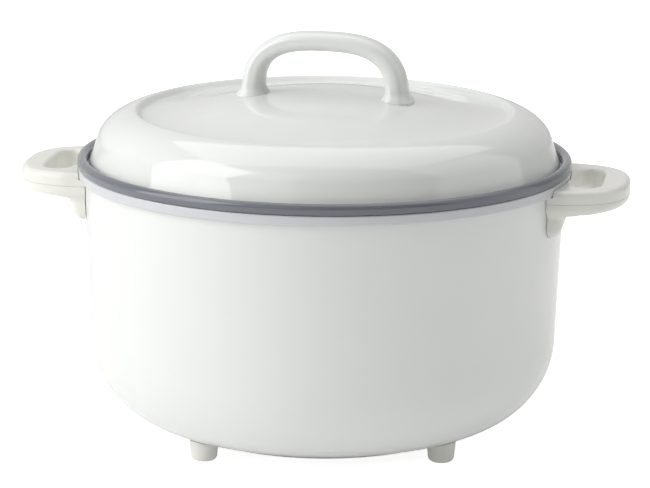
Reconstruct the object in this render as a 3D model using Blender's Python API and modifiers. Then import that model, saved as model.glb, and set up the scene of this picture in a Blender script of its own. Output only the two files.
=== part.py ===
"""Insulated enamel cooking pot: outer shell on four feet, inner pot and lift-off lid.

Metres, +Z up. The pot stands on Z = 0 with its axis on Z, and the side handles lie along X.
"""

import math

import bmesh
import bpy
from mathutils import Matrix, Vector

# Clearances that every fit shares
GAP = 0.0003
CUT_OVERRUN = 0.004
MERGE_DISTANCE = 0.000005

# Facets of the turned pieces
WIDE_SEGMENTS = 48
HIDDEN_SEGMENTS = 32
FOOT_SEGMENTS = 20
SCREW_SEGMENTS = 10
CORNER_STEPS = 6
EDGE_STEPS = 2
SMOOTH_ANGLE_DEGREES = 35.0

# Outer shell: a slightly tapered drum with a wide bottom corner
SHELL_BASE_HEIGHT = 0.0080
SHELL_HEIGHT = 0.1312
SHELL_WALL = 0.0012
SHELL_TOP_RADIUS = 0.1268
SHELL_TAPER = 0.0036
SHELL_CORNER_RADIUS = 0.0460
SHELL_FLOOR_WIDTH = 0.0222

# Collar: a ring that caps the shell and carries the inner pot
COLLAR_HEIGHT = 0.0053
COLLAR_TOP_PLATE = 0.0018
COLLAR_SKIRT_THICKNESS = 0.0024
COLLAR_SPIGOT_DEPTH = 0.0115
COLLAR_SPIGOT_THICKNESS = 0.0063
COLLAR_SPIGOT_CLEARANCE = 0.0029
COLLAR_EDGE_ROUNDING = 0.0009

# Inner pot: a pressed bowl with a seat for the lid and a rolled rim
RIM_OVERHANG = 0.0004
RIM_BEAD_RADIUS = 0.0027
RIM_STEPS = 10
POT_CLEARANCE = 0.0040
POT_WALL = 0.0015
POT_SEAT_THICKNESS = 0.0012
POT_CORNER_RADIUS = 0.0320

# Liner: the fixed bowl that the inner pot hangs in
LINER_CLEARANCE = 0.0008
LINER_WALL = 0.0007
LINER_FLOOR_CLEARANCE = 0.0030
LINER_FLANGE_THICKNESS = 0.0008

# Insulation between liner and shell
WRAP_THICKNESS = 0.0050
WRAP_TOP_CLEARANCE = 0.0030
WRAP_FLOOR_MARGIN = 0.0020
PAD_THICKNESS = 0.0125
PAD_LAP = 0.0040

# Base plate
BASE_PLATE_MARGIN = 0.0002
BASE_PLATE_THICKNESS = 0.0027
BASE_PLATE_ROUNDING = 0.0012

# Feet
FOOT_COUNT = 4
FOOT_TURN_DEGREES = 53.5
FOOT_TOP_RADIUS = 0.0084
FOOT_LOW_RADIUS = 0.0069
FOOT_ROUNDING = 0.0030
FOOT_ROUNDING_STEPS = 3
FOOT_ROOT_HEIGHT = 0.0060
FOOT_PLATE_SPACING = 0.0016
FOOT_SOLE_THICKNESS = 0.0036

# Screws
SCREW_SHANK_RADIUS = 0.0016
SCREW_HEAD_RADIUS = 0.0030
SCREW_HEAD_HEIGHT = 0.0018
SMALL_SHANK_RADIUS = 0.0013
SMALL_HEAD_RADIUS = 0.0026
SMALL_HEAD_HEIGHT = 0.0016
HEAD_ROUNDING_SHARE = 0.35
HEAD_CHEEK_SHARE = 0.50
BASE_SCREW_COUNT = 4
BASE_SCREW_LENGTH = 0.0075
BASE_SCREW_SINK = 0.0002
LINER_SCREW_COUNT = 4
LINER_SCREW_LENGTH = 0.0070
LINER_SCREW_TURN_DEGREES = 45.0
MOUNT_SCREW_TURN_DEGREES = 8.0
MOUNT_SCREW_BITE = 0.0034
JOINING_SCREW_LENGTH = 0.0080
JOINING_SCREW_RECESS = 0.0035
JOINING_SCREW_SETBACK = 0.0068

# Side handles: a loop of round section on a saddle that hugs the shell
HANDLE_SEAM_DROP = 0.0039
HANDLE_SECTION_RADIUS = 0.0070
HANDLE_SECTION_SIDES = 12
HANDLE_LOOP_DEPTH = 0.0314
HANDLE_ARM_SPREAD = 0.0330
HANDLE_LOOP_POWER = 2.6
HANDLE_LOOP_STEPS = 16
HANDLE_TIP_RISE_SHARE = 0.40
SADDLE_PROUD = 0.0006
SADDLE_SHOULDER = 0.0032
SADDLE_LIP = 0.0080
SADDLE_ROUNDING = 0.0052
SADDLE_ROUNDING_STEPS = 3
BRACKET_THICKNESS = 0.0020
BRACKET_HALF_WIDTH = 0.0260
BRACKET_HEIGHT = 0.0135
BRACKET_TOP_CLEARANCE = 0.0012

# Lid
LID_SHEET = 0.0012
LID_LIP_CLEARANCE = 0.0009
LID_FLARE = 0.0036
LID_FLARE_HEIGHT = 0.0042
LID_FLARE_STEPS = 3
LID_SIDE_HEIGHT = 0.0094
LID_SHOULDER_WIDTH = 0.0291
LID_SHOULDER_RISE = 0.0192
LID_SHOULDER_STEPS = 8
LID_PANEL_DROP = 0.0046
LID_PANEL_MARGIN = 0.0303
LID_RIDGE_WIDTH = 0.0074
LID_RIDGE_HEIGHT = 0.0042
LID_RIDGE_EASE = 0.0020
RIDGE_KNEE_SHARE = 0.75
LID_CROWN_RISE = 0.0148
LID_CROWN_STEPS = 8

# Arch handle on the lid
ARCH_TURN_DEGREES = -5.5
ARCH_HALF_SPAN = 0.0388
ARCH_BASE_RISE = 0.0090
ARCH_HEIGHT = 0.0358
ARCH_THICKNESS = 0.0102
ARCH_WIDTH = 0.0152
ARCH_FOOT_GROWTH = 0.20
ARCH_FOOT_SPREAD = 0.0028
ARCH_FOOT_RISE = 0.0045
ARCH_FOOT_DEPTH = 0.0060
ARCH_FOOT_STEPS = 4
ARCH_CURVE_POWER = 2.8
ARCH_CURVE_STEPS = 14
ARCH_SECTION_POWER = 2.6
ARCH_SECTION_STEPS = 16

# Shell and collar sizes that follow from the sizes above
SHELL_LOW_RADIUS = SHELL_TOP_RADIUS - SHELL_TAPER
SHELL_CORNER_CENTRE_RADIUS = SHELL_LOW_RADIUS - SHELL_CORNER_RADIUS
SHELL_CORNER_CENTRE_HEIGHT = SHELL_BASE_HEIGHT + SHELL_CORNER_RADIUS
SHELL_FLOOR_OPENING_RADIUS = SHELL_CORNER_CENTRE_RADIUS - SHELL_FLOOR_WIDTH
SHELL_FLOOR_TOP = SHELL_BASE_HEIGHT + SHELL_WALL
COLLAR_BOTTOM_HEIGHT = SHELL_BASE_HEIGHT + SHELL_HEIGHT
COLLAR_TOP_HEIGHT = COLLAR_BOTTOM_HEIGHT + COLLAR_HEIGHT
COLLAR_PLATE_UNDERSIDE = COLLAR_TOP_HEIGHT - COLLAR_TOP_PLATE
COLLAR_SKIRT_RADIUS = SHELL_TOP_RADIUS + 2 * GAP
COLLAR_OUTER_RADIUS = COLLAR_SKIRT_RADIUS + COLLAR_SKIRT_THICKNESS
SPIGOT_OUTER_RADIUS = SHELL_TOP_RADIUS - SHELL_WALL - COLLAR_SPIGOT_CLEARANCE
SPIGOT_INNER_RADIUS = SPIGOT_OUTER_RADIUS - COLLAR_SPIGOT_THICKNESS
SPIGOT_BOTTOM_HEIGHT = COLLAR_TOP_HEIGHT - COLLAR_SPIGOT_DEPTH
SHELL_TOP_HEIGHT = COLLAR_PLATE_UNDERSIDE - GAP

# Inner pot and liner sizes that follow
RIM_OUTER_RADIUS = COLLAR_OUTER_RADIUS + RIM_OVERHANG
RIM_CENTRE_RADIUS = RIM_OUTER_RADIUS - RIM_BEAD_RADIUS
POT_SEAT_UNDERSIDE = COLLAR_TOP_HEIGHT + GAP
POT_SEAT_TOP = POT_SEAT_UNDERSIDE + POT_SEAT_THICKNESS
RIM_CENTRE_HEIGHT = POT_SEAT_UNDERSIDE + RIM_BEAD_RADIUS
POT_OUTER_RADIUS = SPIGOT_INNER_RADIUS - POT_CLEARANCE
POT_INNER_RADIUS = POT_OUTER_RADIUS - POT_WALL
LINER_INNER_RADIUS = POT_OUTER_RADIUS + LINER_CLEARANCE
LINER_OUTER_RADIUS = LINER_INNER_RADIUS + LINER_WALL
LINER_CORNER_RADIUS = POT_CORNER_RADIUS + LINER_CLEARANCE
PAD_BOTTOM_HEIGHT = SHELL_FLOOR_TOP + GAP
PAD_TOP_HEIGHT = PAD_BOTTOM_HEIGHT + PAD_THICKNESS
LINER_FLOOR_UNDERSIDE = PAD_TOP_HEIGHT + GAP
LINER_FLOOR_TOP = LINER_FLOOR_UNDERSIDE + LINER_WALL
POT_BOTTOM_HEIGHT = LINER_FLOOR_TOP + LINER_FLOOR_CLEARANCE
LINER_FLANGE_TOP = SPIGOT_BOTTOM_HEIGHT - GAP
LINER_FLANGE_UNDERSIDE = LINER_FLANGE_TOP - LINER_FLANGE_THICKNESS
LINER_SCREW_CIRCLE_RADIUS = (SPIGOT_INNER_RADIUS + SPIGOT_OUTER_RADIUS) / 2

# Base plate and foot sizes that follow
BASE_PLATE_RADIUS = SHELL_CORNER_CENTRE_RADIUS - BASE_PLATE_MARGIN
BASE_PLATE_TOP = SHELL_BASE_HEIGHT - GAP
BASE_PLATE_BOTTOM = BASE_PLATE_TOP - BASE_PLATE_THICKNESS
BASE_SCREW_CIRCLE_RADIUS = (SHELL_FLOOR_OPENING_RADIUS + BASE_PLATE_RADIUS) / 2
FOOT_CIRCLE_RADIUS = BASE_PLATE_RADIUS + FOOT_TOP_RADIUS + FOOT_PLATE_SPACING

# Side handle sizes that follow
BRACKET_TOP_HEIGHT = LINER_FLANGE_UNDERSIDE - BRACKET_TOP_CLEARANCE
BRACKET_BOTTOM_HEIGHT = BRACKET_TOP_HEIGHT - BRACKET_HEIGHT
MOUNT_SCREW_HEIGHT = (BRACKET_TOP_HEIGHT + BRACKET_BOTTOM_HEIGHT) / 2
SADDLE_BOTTOM_HEIGHT = MOUNT_SCREW_HEIGHT - SADDLE_LIP
SADDLE_FACE = COLLAR_OUTER_RADIUS + SADDLE_PROUD
SADDLE_HALF_WIDTH = HANDLE_ARM_SPREAD + SADDLE_SHOULDER
HANDLE_SEAM_HEIGHT = COLLAR_BOTTOM_HEIGHT - HANDLE_SEAM_DROP
HANDLE_TOP_HEIGHT = HANDLE_SEAM_HEIGHT + HANDLE_SECTION_RADIUS
HANDLE_REACH = COLLAR_OUTER_RADIUS + HANDLE_LOOP_DEPTH
HANDLE_LOOP_TIP = HANDLE_REACH - HANDLE_SECTION_RADIUS
HANDLE_HALF_WIDTH = HANDLE_ARM_SPREAD + HANDLE_SECTION_RADIUS

# Lid sizes that follow
LID_LIP_BOTTOM = POT_SEAT_TOP + GAP
LID_LIP_RADIUS = RIM_OUTER_RADIUS - 2 * RIM_BEAD_RADIUS - LID_LIP_CLEARANCE
LID_SIDE_RADIUS = LID_LIP_RADIUS - LID_FLARE
LID_SHOULDER_HEIGHT = LID_LIP_BOTTOM + LID_SIDE_HEIGHT
LID_PANEL_HEIGHT = LID_SHOULDER_HEIGHT + LID_SHOULDER_RISE - LID_PANEL_DROP
LID_PANEL_RADIUS = LID_SIDE_RADIUS - LID_PANEL_MARGIN
ARCH_BASE_HEIGHT = LID_PANEL_HEIGHT + ARCH_BASE_RISE

HALF_TURN = math.pi
QUARTER_TURN = math.pi / 2
FULL_TURN = 2 * math.pi


def start_clean():
    """Remove every object of the scene and return the collections for parts and cutters."""
    for old_object in list(bpy.data.objects):
        bpy.data.objects.remove(old_object, do_unlink=True)
    parts = bpy.data.collections.new("enamel_cooking_pot")
    cutters = bpy.data.collections.new("cutters")
    bpy.context.scene.collection.children.link(parts)
    bpy.context.scene.collection.children.link(cutters)
    return parts, cutters


PARTS, CUTTERS = start_clean()


def make_material(name, colour, roughness, metallic=0.0):
    """Return a Principled material."""
    material = bpy.data.materials.new(name)
    material.use_nodes = True
    shader = material.node_tree.nodes["Principled BSDF"]
    shader.inputs["Base Color"].default_value = (*colour, 1.0)
    shader.inputs["Roughness"].default_value = roughness
    shader.inputs["Metallic"].default_value = metallic
    material.diffuse_color = (*colour, 1.0)
    return material


WHITE_ENAMEL = make_material("white_enamel", (0.86, 0.86, 0.83), 0.12)
LID_ENAMEL = make_material("lid_enamel", (0.87, 0.87, 0.85), 0.10)
GREY_ENAMEL = make_material("grey_enamel", (0.19, 0.19, 0.23), 0.18)
COLLAR_PLASTIC = make_material("collar_plastic", (0.76, 0.78, 0.84), 0.28)
HANDLE_PLASTIC = make_material("handle_plastic", (0.83, 0.83, 0.79), 0.30)
BASE_PLASTIC = make_material("base_plastic", (0.55, 0.55, 0.52), 0.45)
ALUMINIUM = make_material("aluminium", (0.78, 0.78, 0.79), 0.35, 1.0)
GLASS_WOOL = make_material("glass_wool", (0.80, 0.74, 0.52), 0.95)
STEEL = make_material("steel", (0.62, 0.62, 0.63), 0.30, 1.0)


def link_part(name, mesh, material):
    """Make an object of the part from a mesh."""
    mesh.materials.clear()
    mesh.materials.append(material)
    part = bpy.data.objects.new(name, mesh)
    PARTS.objects.link(part)
    return part


def link_cutter(name, mesh):
    """Make an object that only shapes others."""
    cutter = bpy.data.objects.new(name, mesh)
    CUTTERS.objects.link(cutter)
    cutter.hide_render = True
    cutter.display_type = "WIRE"
    return cutter


def evaluated_mesh(source):
    """Return a new mesh of an object as its modifiers leave it."""
    bpy.context.view_layer.update()
    graph = bpy.context.evaluated_depsgraph_get()
    return bpy.data.meshes.new_from_object(source.evaluated_get(graph))


def bake(source):
    """Turn an object's modifiers into its own mesh."""
    mesh = evaluated_mesh(source)
    source.modifiers.clear()
    source.data = mesh
    return source


def arc(centre, radius, start_degrees, end_degrees, steps):
    """Return points along an arc, both ends included."""
    points = []
    for step in range(steps + 1):
        angle = math.radians(start_degrees + (end_degrees - start_degrees) * step / steps)
        points.append((centre[0] + radius * math.cos(angle), centre[1] + radius * math.sin(angle)))
    return points


def turned_mesh(name, profile, segments, closed):
    """Turn a profile of (radius, height) points about Z and return the finished mesh."""
    mesh = bpy.data.meshes.new(name)
    count = len(profile)
    edges = [(index, index + 1) for index in range(count - 1)]
    if closed:
        edges.append((count - 1, 0))
    mesh.from_pydata([(radius, 0.0, height) for radius, height in profile], edges, [])
    blank = bpy.data.objects.new(name, mesh)
    CUTTERS.objects.link(blank)
    screw = blank.modifiers.new("turn", "SCREW")
    screw.axis = "Z"
    screw.angle = FULL_TURN
    screw.steps = segments
    screw.render_steps = segments
    screw.use_merge_vertices = True
    screw.merge_threshold = MERGE_DISTANCE
    screw.use_smooth_shade = True
    finished = evaluated_mesh(blank)
    bpy.data.objects.remove(blank, do_unlink=True)
    finished.name = name
    return finished


def smooth_round_faces(mesh):
    """Shade round faces smooth and keep real edges sharp."""
    mesh.shade_smooth()
    mesh.set_sharp_from_angle(angle=math.radians(SMOOTH_ANGLE_DEGREES))


def turned_part(name, profile, material, segments=WIDE_SEGMENTS, closed=False):
    """Make a turned piece of the part."""
    mesh = turned_mesh(name, profile, segments, closed)
    smooth_round_faces(mesh)
    return link_part(name, mesh, material)


def turned_cutter(name, profile, segments=WIDE_SEGMENTS):
    """Make a turned cutter."""
    return link_cutter(name, turned_mesh(name, profile, segments, False))


def boolean(target, cutter, operation="DIFFERENCE"):
    """Cut, join or trim a piece with another closed shape."""
    step = target.modifiers.new(operation.lower(), "BOOLEAN")
    step.operation = operation
    step.solver = "EXACT"
    step.object = cutter
    return step


def box_mesh(name, low, high, rounding=0.0):
    """Return a box mesh between two corners, with its edges rounded."""
    mesh = bpy.data.meshes.new(name)
    shape = bmesh.new()
    bmesh.ops.create_cube(shape, size=1.0)
    size = [high[axis] - low[axis] for axis in range(3)]
    middle = [(high[axis] + low[axis]) / 2 for axis in range(3)]
    bmesh.ops.scale(shape, vec=size, verts=shape.verts)
    bmesh.ops.translate(shape, vec=middle, verts=shape.verts)
    if rounding:
        bmesh.ops.bevel(
            shape,
            geom=list(shape.edges),
            offset=rounding,
            segments=SADDLE_ROUNDING_STEPS,
            profile=0.5,
            affect="EDGES",
            clamp_overlap=True,
        )
    shape.to_mesh(mesh)
    shape.free()
    return mesh


# Outer shell

def shell_radius(height):
    """Return the shell's outer radius on its straight, tapered wall."""
    wall_height = COLLAR_BOTTOM_HEIGHT - SHELL_CORNER_CENTRE_HEIGHT
    return SHELL_LOW_RADIUS + SHELL_TAPER * (height - SHELL_CORNER_CENTRE_HEIGHT) / wall_height


def shell_line(inset, top_height):
    """Return the shell's outline, inset from its outer face, from its top down to its floor."""
    centre = (SHELL_CORNER_CENTRE_RADIUS, SHELL_CORNER_CENTRE_HEIGHT)
    corner = arc(centre, SHELL_CORNER_RADIUS - inset, 0.0, -90.0, CORNER_STEPS)
    return [(shell_radius(top_height) - inset, top_height)] + corner


def shell_floor_height(radius):
    """Return the height of the shell's inner face over its bottom corner."""
    inner_radius = SHELL_CORNER_RADIUS - SHELL_WALL
    reach = radius - SHELL_CORNER_CENTRE_RADIUS
    return SHELL_CORNER_CENTRE_HEIGHT - math.sqrt(inner_radius ** 2 - reach ** 2)


def build_outer_shell():
    """Make the drum with an opening in its floor."""
    outside = shell_line(0.0, SHELL_TOP_HEIGHT)
    inside = shell_line(SHELL_WALL, SHELL_TOP_HEIGHT)
    floor_edge = [
        (SHELL_FLOOR_OPENING_RADIUS, SHELL_BASE_HEIGHT),
        (SHELL_FLOOR_OPENING_RADIUS, SHELL_FLOOR_TOP),
    ]
    profile = outside + floor_edge + inside[::-1]
    return turned_part("outer_shell", profile, WHITE_ENAMEL, closed=True)


def build_shell_envelope():
    """Make the cutter that fits feet and handles to the shell and the collar."""
    collar_radius = COLLAR_OUTER_RADIUS + GAP
    collar_floor = COLLAR_BOTTOM_HEIGHT - GAP
    top = COLLAR_TOP_HEIGHT + CUT_OVERRUN
    profile = [(0.0, top), (collar_radius, top), (collar_radius, collar_floor)]
    profile += shell_line(-GAP, collar_floor)
    profile.append((0.0, SHELL_BASE_HEIGHT - GAP))
    return turned_cutter("shell_envelope", profile)


# Collar, liner, inner pot and insulation

def build_collar():
    """Make the ring with an outer skirt and an inner spigot, open below for the shell's edge."""
    rounding = COLLAR_EDGE_ROUNDING
    top = COLLAR_TOP_HEIGHT
    bottom = COLLAR_BOTTOM_HEIGHT
    rim_centre = COLLAR_OUTER_RADIUS - rounding
    profile = [(SPIGOT_INNER_RADIUS, top)]
    profile += arc((rim_centre, top - rounding), rounding, 90.0, 0.0, EDGE_STEPS)
    profile += arc((rim_centre, bottom + rounding), rounding, 0.0, -90.0, EDGE_STEPS)
    profile += [
        (COLLAR_SKIRT_RADIUS, bottom),
        (COLLAR_SKIRT_RADIUS, COLLAR_PLATE_UNDERSIDE),
        (SPIGOT_OUTER_RADIUS, COLLAR_PLATE_UNDERSIDE),
        (SPIGOT_OUTER_RADIUS, SPIGOT_BOTTOM_HEIGHT),
        (SPIGOT_INNER_RADIUS, SPIGOT_BOTTOM_HEIGHT),
    ]
    return turned_part("collar_ring", profile, COLLAR_PLASTIC, closed=True)


def bowl_corner(radius, corner_radius, floor_height, start_degrees, end_degrees):
    """Return the rounded lower corner of a bowl's wall."""
    centre = (radius - corner_radius, floor_height + corner_radius)
    return arc(centre, corner_radius, start_degrees, end_degrees, CORNER_STEPS)


def build_inner_pot():
    """Make the bowl that hangs on the collar by its rolled rim."""
    floor_top = POT_BOTTOM_HEIGHT + POT_WALL
    inner_corner = POT_CORNER_RADIUS - POT_WALL
    bead_centre = (RIM_CENTRE_RADIUS, RIM_CENTRE_HEIGHT)
    seat_meets_bead = 180.0 + math.degrees(
        math.asin((RIM_CENTRE_HEIGHT - POT_SEAT_TOP) / RIM_BEAD_RADIUS)
    )
    profile = [(0.0, floor_top)]
    profile += bowl_corner(POT_INNER_RADIUS, inner_corner, floor_top, -90.0, 0.0)
    profile.append((POT_INNER_RADIUS, POT_SEAT_TOP))
    profile += arc(bead_centre, RIM_BEAD_RADIUS, seat_meets_bead, -90.0, RIM_STEPS)
    profile.append((POT_OUTER_RADIUS, POT_SEAT_UNDERSIDE))
    profile += bowl_corner(POT_OUTER_RADIUS, POT_CORNER_RADIUS, POT_BOTTOM_HEIGHT, 0.0, -90.0)
    profile.append((0.0, POT_BOTTOM_HEIGHT))
    return turned_part("inner_pot", profile, GREY_ENAMEL)


def build_liner():
    """Make the fixed bowl, screwed up under the collar by its flange."""
    outer_corner = LINER_CORNER_RADIUS + LINER_WALL
    profile = [(0.0, LINER_FLOOR_TOP)]
    profile += bowl_corner(LINER_INNER_RADIUS, LINER_CORNER_RADIUS, LINER_FLOOR_TOP, -90.0, 0.0)
    profile += [
        (LINER_INNER_RADIUS, LINER_FLANGE_TOP),
        (SPIGOT_OUTER_RADIUS, LINER_FLANGE_TOP),
        (SPIGOT_OUTER_RADIUS, LINER_FLANGE_UNDERSIDE),
        (LINER_OUTER_RADIUS, LINER_FLANGE_UNDERSIDE),
    ]
    profile += bowl_corner(LINER_OUTER_RADIUS, outer_corner, LINER_FLOOR_UNDERSIDE, 0.0, -90.0)
    profile.append((0.0, LINER_FLOOR_UNDERSIDE))
    return turned_part("inner_liner", profile, ALUMINIUM, HIDDEN_SEGMENTS)


def build_insulation():
    """Make the wrap round the liner and the pad under it."""
    inner = LINER_OUTER_RADIUS + GAP
    outer = inner + WRAP_THICKNESS
    wrap_top = LINER_FLANGE_UNDERSIDE - WRAP_TOP_CLEARANCE
    wrap_bottom = SHELL_CORNER_CENTRE_HEIGHT + WRAP_FLOOR_MARGIN
    wrap_profile = [
        (inner, wrap_top),
        (outer, wrap_top),
        (outer, wrap_bottom),
        (inner, wrap_bottom),
    ]
    turned_part("insulation_wrap", wrap_profile, GLASS_WOOL, HIDDEN_SEGMENTS, closed=True)
    pad_radius = SHELL_FLOOR_OPENING_RADIUS + PAD_LAP
    pad_profile = [
        (0.0, PAD_TOP_HEIGHT),
        (pad_radius, PAD_TOP_HEIGHT),
        (pad_radius, PAD_BOTTOM_HEIGHT),
        (0.0, PAD_BOTTOM_HEIGHT),
    ]
    turned_part("insulation_pad", pad_profile, GLASS_WOOL, HIDDEN_SEGMENTS)


# Screws and what takes them

def pan_screw_profile(head_radius, head_height, shank_radius, length):
    """Return a screw with its seat at height zero, its head above and its shank below."""
    crown_radius = head_radius - head_height * HEAD_ROUNDING_SHARE
    return [
        (0.0, head_height),
        (crown_radius, head_height),
        (head_radius, head_height * HEAD_CHEEK_SHARE),
        (head_radius, 0.0),
        (shank_radius, 0.0),
        (shank_radius, -length),
        (0.0, -length),
    ]


def countersunk_profile(length, margin=0.0):
    """Return a countersunk screw with its face at height zero and its shank below."""
    slope = SCREW_HEAD_RADIUS - SCREW_SHANK_RADIUS
    return [
        (0.0, margin),
        (SCREW_HEAD_RADIUS + margin, margin),
        (SCREW_SHANK_RADIUS + margin, -slope),
        (SCREW_SHANK_RADIUS + margin, -length - margin),
        (0.0, -length - margin),
    ]


def hole_profile(radius, mouth_height, length):
    """Return the profile of a blind hole that runs down from its mouth."""
    return [(0.0, mouth_height), (radius, mouth_height), (radius, -length), (0.0, -length)]


def placed_copies(profile, places):
    """Return one mesh that holds a turned shape at each place."""
    joined = bmesh.new()
    for place in places:
        mesh = turned_mesh("copy", profile, SCREW_SEGMENTS, False)
        mesh.transform(place)
        joined.from_mesh(mesh)
        bpy.data.meshes.remove(mesh)
    mesh = bpy.data.meshes.new("copies")
    joined.to_mesh(mesh)
    joined.free()
    return mesh


def make_screws(name, profile, places):
    """Make identical screws, each its own object at its own place."""
    screws = []
    for index, place in enumerate(places, start=1):
        mesh = turned_mesh(f"{name}_{index}", profile, SCREW_SEGMENTS, False)
        mesh.transform(place)
        smooth_round_faces(mesh)
        screws.append(link_part(f"{name}_{index}", mesh, STEEL))
    return screws


def circle_places(count, radius, first_degrees, height, flip):
    """Return upright or upside-down places on a circle."""
    places = []
    turn_over = Matrix.Rotation(HALF_TURN, 4, "X") if flip else Matrix.Identity(4)
    for index in range(count):
        angle = math.radians(first_degrees) + FULL_TURN * index / count
        spot = Matrix.Translation((radius * math.cos(angle), radius * math.sin(angle), height))
        places.append(spot @ turn_over)
    return places


def build_base_plate(shell):
    """Make the plate that closes the shell's floor, with its screws."""
    rounding = BASE_PLATE_ROUNDING
    rounding_centre = (BASE_PLATE_RADIUS - rounding, BASE_PLATE_BOTTOM + rounding)
    profile = [(0.0, BASE_PLATE_TOP), (BASE_PLATE_RADIUS, BASE_PLATE_TOP)]
    profile += arc(rounding_centre, rounding, 0.0, -90.0, EDGE_STEPS)
    profile.append((0.0, BASE_PLATE_BOTTOM))
    plate = turned_part("base_plate", profile, BASE_PLASTIC)
    face_height = BASE_PLATE_BOTTOM + BASE_SCREW_SINK
    places = circle_places(BASE_SCREW_COUNT, BASE_SCREW_CIRCLE_RADIUS, 0.0, face_height, True)
    make_screws("base_plate_screw", countersunk_profile(BASE_SCREW_LENGTH), places)
    holes = placed_copies(countersunk_profile(BASE_SCREW_LENGTH, GAP), places)
    cutter = link_cutter("base_screw_holes", holes)
    boolean(plate, cutter)
    boolean(shell, cutter)


FOOT_NAMES = ("foot_rear_right", "foot_rear_left", "foot_front_left", "foot_front_right")


def build_feet(shell, envelope):
    """Make four tapered feet, each held by a screw from inside the shell."""
    rounding_centre = (FOOT_LOW_RADIUS - FOOT_ROUNDING, FOOT_ROUNDING)
    root_height = SHELL_BASE_HEIGHT + FOOT_ROOT_HEIGHT
    profile = [(0.0, root_height), (FOOT_TOP_RADIUS, root_height)]
    profile.append((FOOT_TOP_RADIUS, SHELL_BASE_HEIGHT))
    profile += arc(rounding_centre, FOOT_ROUNDING, 0.0, -90.0, FOOT_ROUNDING_STEPS)
    profile.append((0.0, 0.0))
    seat_height = shell_floor_height(FOOT_CIRCLE_RADIUS + SCREW_HEAD_RADIUS) + GAP
    screw_length = seat_height - FOOT_SOLE_THICKNESS
    screw_places = circle_places(
        FOOT_COUNT, FOOT_CIRCLE_RADIUS, FOOT_TURN_DEGREES, seat_height, False
    )
    screw_profile = pan_screw_profile(
        SCREW_HEAD_RADIUS, SCREW_HEAD_HEIGHT, SCREW_SHANK_RADIUS, screw_length
    )
    make_screws("foot_screw", screw_profile, screw_places)
    hole = hole_profile(SCREW_SHANK_RADIUS + GAP, SCREW_HEAD_HEIGHT, screw_length + GAP)
    cutter = link_cutter("foot_screw_holes", placed_copies(hole, screw_places))
    boolean(shell, cutter)
    blank_places = circle_places(FOOT_COUNT, FOOT_CIRCLE_RADIUS, FOOT_TURN_DEGREES, 0.0, False)
    for name, place in zip(FOOT_NAMES, blank_places):
        mesh = turned_mesh(name, profile, FOOT_SEGMENTS, False)
        mesh.transform(place)
        smooth_round_faces(mesh)
        foot = link_part(name, mesh, HANDLE_PLASTIC)
        boolean(foot, envelope)
        boolean(foot, cutter)


def build_liner_screws(liner, collar):
    """Make the screws that hold the liner's flange up to the collar."""
    places = circle_places(
        LINER_SCREW_COUNT,
        LINER_SCREW_CIRCLE_RADIUS,
        LINER_SCREW_TURN_DEGREES,
        LINER_FLANGE_UNDERSIDE - GAP,
        True,
    )
    sizes = (SMALL_HEAD_RADIUS, SMALL_HEAD_HEIGHT, SMALL_SHANK_RADIUS, LINER_SCREW_LENGTH)
    make_screws("liner_screw", pan_screw_profile(*sizes), places)
    hole = hole_profile(SMALL_SHANK_RADIUS + GAP, CUT_OVERRUN, LINER_SCREW_LENGTH + GAP)
    cutter = link_cutter("liner_screw_holes", placed_copies(hole, places))
    boolean(liner, cutter)
    boolean(collar, cutter)


# Side handles

def chord_depth(radius, half_width):
    """Return how far out a circle stands at a distance beside its middle."""
    return math.sqrt(radius ** 2 - half_width ** 2)


def loop_points():
    """Return the middle line of the handle's loop, in plan, from one root to the other."""
    root = chord_depth(shell_radius(HANDLE_SEAM_HEIGHT), HANDLE_HALF_WIDTH) - CUT_OVERRUN
    depth = HANDLE_LOOP_TIP - SADDLE_FACE
    power = 2 / HANDLE_LOOP_POWER
    points = [(root, HANDLE_ARM_SPREAD)]
    for step in range(HANDLE_LOOP_STEPS + 1):
        angle = QUARTER_TURN * (1 - 2 * step / HANDLE_LOOP_STEPS)
        along = SADDLE_FACE + depth * math.cos(angle) ** power
        across = HANDLE_ARM_SPREAD * abs(math.sin(angle)) ** power
        points.append((along, math.copysign(across, angle)))
    points.append((root, -HANDLE_ARM_SPREAD))
    return points


def loop_mesh():
    """Return the whole loop as a tube, its underside rising towards the tip."""
    curve = bpy.data.curves.new("handle_loop", "CURVE")
    curve.dimensions = "3D"
    curve.bevel_depth = HANDLE_SECTION_RADIUS
    # A bevelled curve has four sides and two more for each step of resolution
    curve.bevel_resolution = HANDLE_SECTION_SIDES // 2 - 2
    curve.use_fill_caps = True
    points = loop_points()
    spline = curve.splines.new("POLY")
    spline.points.add(len(points) - 1)
    for spot, (along, across) in zip(spline.points, points):
        spot.co = (along, across, HANDLE_SEAM_HEIGHT, 1.0)
    guide = bpy.data.objects.new("handle_loop", curve)
    CUTTERS.objects.link(guide)
    mesh = evaluated_mesh(guide)
    bpy.data.objects.remove(guide, do_unlink=True)
    shape = bmesh.new()
    shape.from_mesh(mesh)
    bmesh.ops.remove_doubles(shape, verts=shape.verts, dist=MERGE_DISTANCE)
    for vertex in shape.verts:
        depth = HANDLE_SEAM_HEIGHT - vertex.co.z
        along = (vertex.co.x - SADDLE_FACE) / (HANDLE_REACH - SADDLE_FACE)
        if depth > 0.0 and along > 0.0:
            vertex.co.z = HANDLE_SEAM_HEIGHT - depth * (1.0 - HANDLE_TIP_RISE_SHARE * along)
    shape.to_mesh(mesh)
    shape.free()
    return mesh


def radial_place(radius, turn_degrees, height):
    """Return a place whose +Z looks towards the pot's axis."""
    turn = Matrix.Rotation(math.radians(turn_degrees), 4, "Z")
    spot = Matrix.Translation((radius, 0.0, height))
    return turn @ spot @ Matrix.Rotation(-QUARTER_TURN, 4, "Y")


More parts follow.
